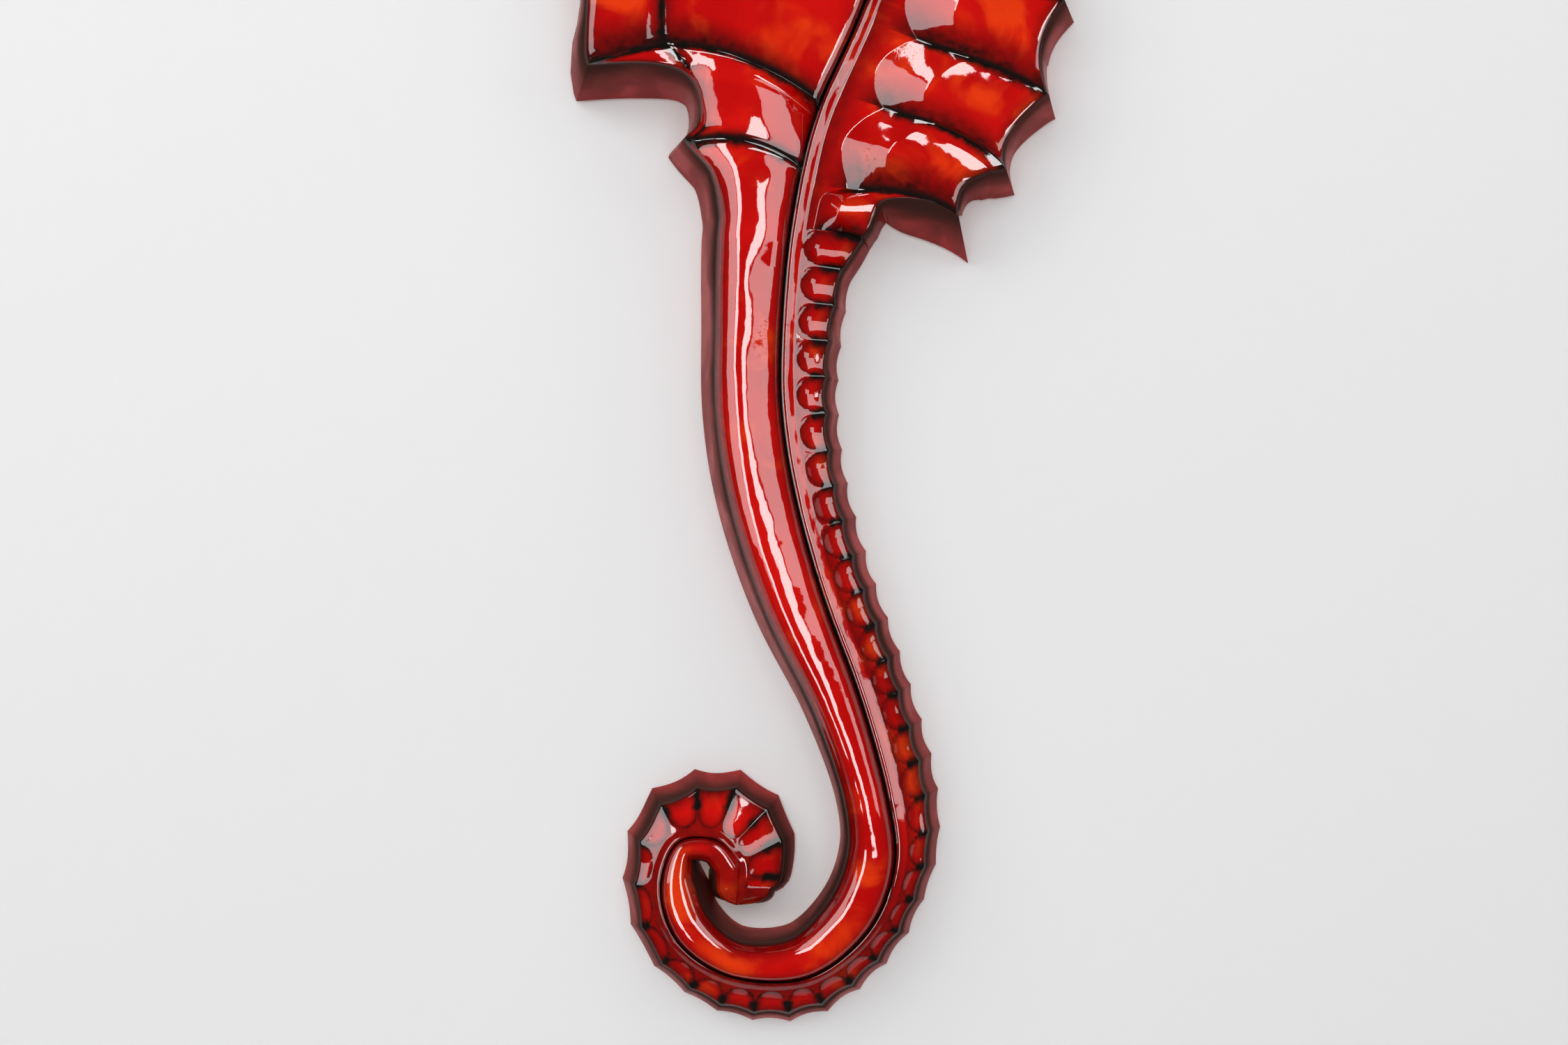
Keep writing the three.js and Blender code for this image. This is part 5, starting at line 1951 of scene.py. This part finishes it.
@dataclass(frozen=True)
class Softbox:
    """A rectangular light: where it stands, what it faces, its size and its glow, where 1 is white."""

    name: str
    place: tuple[float, float, float]
    aim: tuple[float, float, float]
    width: float
    height: float
    glow: float
    seen_by: Reach = Reach.ALL

    def make(self) -> None:
        """Make the light."""
        light = bpy.data.lights.new(self.name, "AREA")
        light.shape = "RECTANGLE"
        light.size, light.size_y = self.width, self.height
        light.energy = self.glow * math.pi * self.width * self.height
        lamp = bpy.data.objects.new(self.name, light)
        bpy.context.scene.collection.objects.link(lamp)
        lamp.location = self.place
        lamp.rotation_euler = (Vector(self.aim) - Vector(self.place)).to_track_quat("-Z", "Y").to_euler()
        lamp.visible_camera = False
        lamp.visible_diffuse = self.seen_by is not Reach.GLOSS
        lamp.visible_glossy = self.seen_by is not Reach.MATT


# What the camera looks at, in metres
VIEW_X = -HANG_X * MM
VIEW_Z = -HANG_Z * MM


def gloss_box(name: str, side: float, out: float, up: float, width: float, height: float, glow: float,
              aim_up: float) -> Softbox:
    """A light that shows only as a reflection, placed and aimed from the middle of the view.

    Args:
        name: its name.
        side: its place to the right of the middle.
        out: its distance from the wall.
        up: its place above the middle.
        width: its width.
        height: its height.
        glow: its glow.
        aim_up: how far above the middle it faces.

    Returns:
        The light.
    """
    place, aim = (VIEW_X + side, -out, VIEW_Z + up), (VIEW_X, 0, VIEW_Z + aim_up)
    return Softbox(name, place, aim, width, height, glow, Reach.GLOSS)


@dataclass
class Studio:
    """A pale wall and floor, soft lamps and the camera."""

    wall_colour: Colour = (0.80, 0.80, 0.805)
    wall_rough: float = 0.9
    wall_half_width: float = 4.0
    wall_top: float = 4.0
    wall_gap: float = 0.0004
    floor_half_width: float = 9.0
    floor_level: float = -1.5
    floor_evenness: float = 0.75
    sky_glow: float = 0.07
    backdrop_glow: float = 0.7
    camera_distance: float = 0.875
    lens: float = 50.0
    sensor: float = 36.0
    lamps: tuple[Softbox, ...] = (
        Softbox("front_fill", (0, -2.4, 0.3), (0, 0, -0.25), 2.4, 2.4, 2.1, Reach.MATT),
        Softbox("left_key", (-1.3, -1.1, 0.6), (0, 0, -0.25), 1.2, 1.4, 2.65, Reach.MATT),
        Softbox("right_key", (1.3, -1.1, 0.6), (0, 0, -0.25), 1.2, 1.4, 1.0, Reach.MATT),
        Softbox("top_key", (0, -0.7, 1.6), (0, 0, -0.2), 1.4, 1.0, 1.5, Reach.MATT),
        Softbox("back_key", (0.5, 1.6, 0.6), (0, 0, -0.15), 1.4, 1.2, 4.5),
        gloss_box("left_strip", -0.34, 0.9, -0.05, 0.2, 0.7, 18, 0),
        gloss_box("right_strip", 0.34, 0.9, -0.05, 0.2, 0.7, 18, 0),
        gloss_box("left_window", -0.42, 0.43, 0.12, 0.34, 0.56, 6, 0.12),
        gloss_box("right_window", 0.42, 0.43, 0.30, 0.34, 0.50, 6, 0.30),
        gloss_box("low_window", 0.55, 0.345, -0.05, 0.18, 0.20, 6, -0.05),
    )

    def build(self) -> None:
        """Make the wall, floor, lamps, sky and camera."""
        scene = bpy.context.scene
        scene.view_settings.view_transform = "Standard"
        self._sky(scene)
        wide, gap, top = self.wall_half_width, self.wall_gap, self.wall_top
        far, low = self.floor_half_width, self.floor_level
        self._sheet("wall", [(-wide, gap, low), (wide, gap, low), (wide, gap, top), (-wide, gap, top)], True)
        self._sheet("floor", [(-far, -far, low), (far, -far, low), (far, far, low), (-far, far, low)], False)
        for lamp in self.lamps:
            lamp.make()
        lens = bpy.data.cameras.new("photograph_view")
        lens.lens, lens.sensor_width = self.lens, self.sensor
        camera = bpy.data.objects.new("photograph_view", lens)
        scene.collection.objects.link(camera)
        camera.location = (VIEW_X, -self.camera_distance, VIEW_Z)
        camera.rotation_euler = (math.pi / 2, 0, 0)
        scene.camera = camera

    def _sky(self, scene: bpy.types.Scene) -> None:
        """Faint even light from all round, and a pale backdrop where the camera sees past the wall.

        Args:
            scene: the scene that gets them.
        """
        world = bpy.data.worlds.new("even_sky")
        world.use_nodes = True
        sky = world.node_tree.nodes["Background"]
        sky.inputs["Color"].default_value = (1, 1, 1, 1)
        graph = Graph(world.node_tree)
        seen = graph.add("ShaderNodeLightPath").outputs["Is Camera Ray"]
        shown = graph.math("MULTIPLY", seen, self.backdrop_glow)
        graph.join(graph.math("ADD", shown, self.sky_glow), sky.inputs["Strength"])
        scene.world = world

    def _sheet(self, name: str, corners: list[tuple[float, float, float]], one_way: bool) -> None:
        """Make a flat pale surface of the studio.

        Args:
            name: its name.
            corners: its corners, in order.
            one_way: whether it is clear from behind and lets lamps through; else it stays pale far away.
        """
        mesh = bpy.data.meshes.new(name)
        mesh.from_pydata(corners, [], [(0, 1, 2, 3)])
        sheet = new_piece(name, mesh)
        surface = Surface(name)
        surface.feed(Base_Color=self.wall_colour, Roughness=self.wall_rough, Specular_IOR_Level=0.0)
        rays = surface.add("ShaderNodeLightPath").outputs
        if one_way:
            other = surface.add("ShaderNodeBsdfTransparent")
            behind = surface.add("ShaderNodeNewGeometry").outputs["Backfacing"]
            share = surface.math("MAXIMUM", behind, rays["Is Shadow Ray"])
        else:
            other = surface.add("ShaderNodeEmission", {"Color": self.wall_colour})
            share = surface.math("MULTIPLY", rays["Is Camera Ray"], self.floor_evenness)
        feeds = {"Fac": share, 1: surface.shader.outputs["BSDF"], 2: other.outputs[0]}
        mixed = surface.add("ShaderNodeMixShader", feeds)
        surface.join(mixed.outputs["Shader"], surface.output.inputs["Surface"])
        mesh.materials.append(surface.material)
        sheet.visible_glossy = one_way


# The assembly


def settle(piece: Piece, body: str, slot: str, *nodes: str) -> None:
    """Make a piece ride on its body in place of its nodes, and report it.

    Args:
        piece: the finished piece.
        body: the body that it moves with.
        slot: the record's material slot of its finish; not used.
        *nodes: the nodes that it stands for.
    """
    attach(piece, body)
    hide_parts(*nodes)
    LOG.info("%s: %d faces on %s", piece.name, len(piece.data.polygons), body)


def main() -> None:
    """Build the plaque and its studio."""
    logging.basicConfig(level=logging.INFO)
    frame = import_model()
    effects = {effect: effect.group() for effect in (Specks, Patches)}
    kinds = (RedGlaze(), Beech(), Adhesive(), ZincSteel(), Felt())
    finishes = {kind.slot: kind.make(effects) for kind in kinds}
    slots = {row["node"]: row["material_slot"] for row in frame["record"]["subparts"]}
    for name, node in frame["nodes"].items():
        node.data.materials.clear()
        node.data.materials.append(finishes[slots[name]])
    settle(Casting().make(finishes["red_glaze"]), "root", "red_glaze", "ceramic_body")
    backing, hangers, steel = Backing(), Hangers(), finishes["zinc_steel"]
    settle(backing.batten(finishes["beech"]), "root", "beech", "hanger_batten")
    for side in ("left", "right"):
        settle(backing.bed(side, finishes["adhesive"]), "root", "adhesive", f"batten_bed_{side}")
        settle(hangers.strap(side, steel), "root", "zinc_steel", f"{side}_hanger_strap")
        settle(hangers.ring(side, steel), f"{side}_ring", "zinc_steel", f"{side}_hanger_ring")
    screws = tuple(node for node in slots if node.endswith("_screw"))
    settle(hangers.screws(screws, steel), "root", "zinc_steel", *screws)
    pads = tuple(node for node in slots if node.endswith("_pad"))
    settle(FeltPads().make(pads, finishes["felt"]), "root", "felt", *pads)
    Studio().build()


if __name__ == "__main__":
    main()
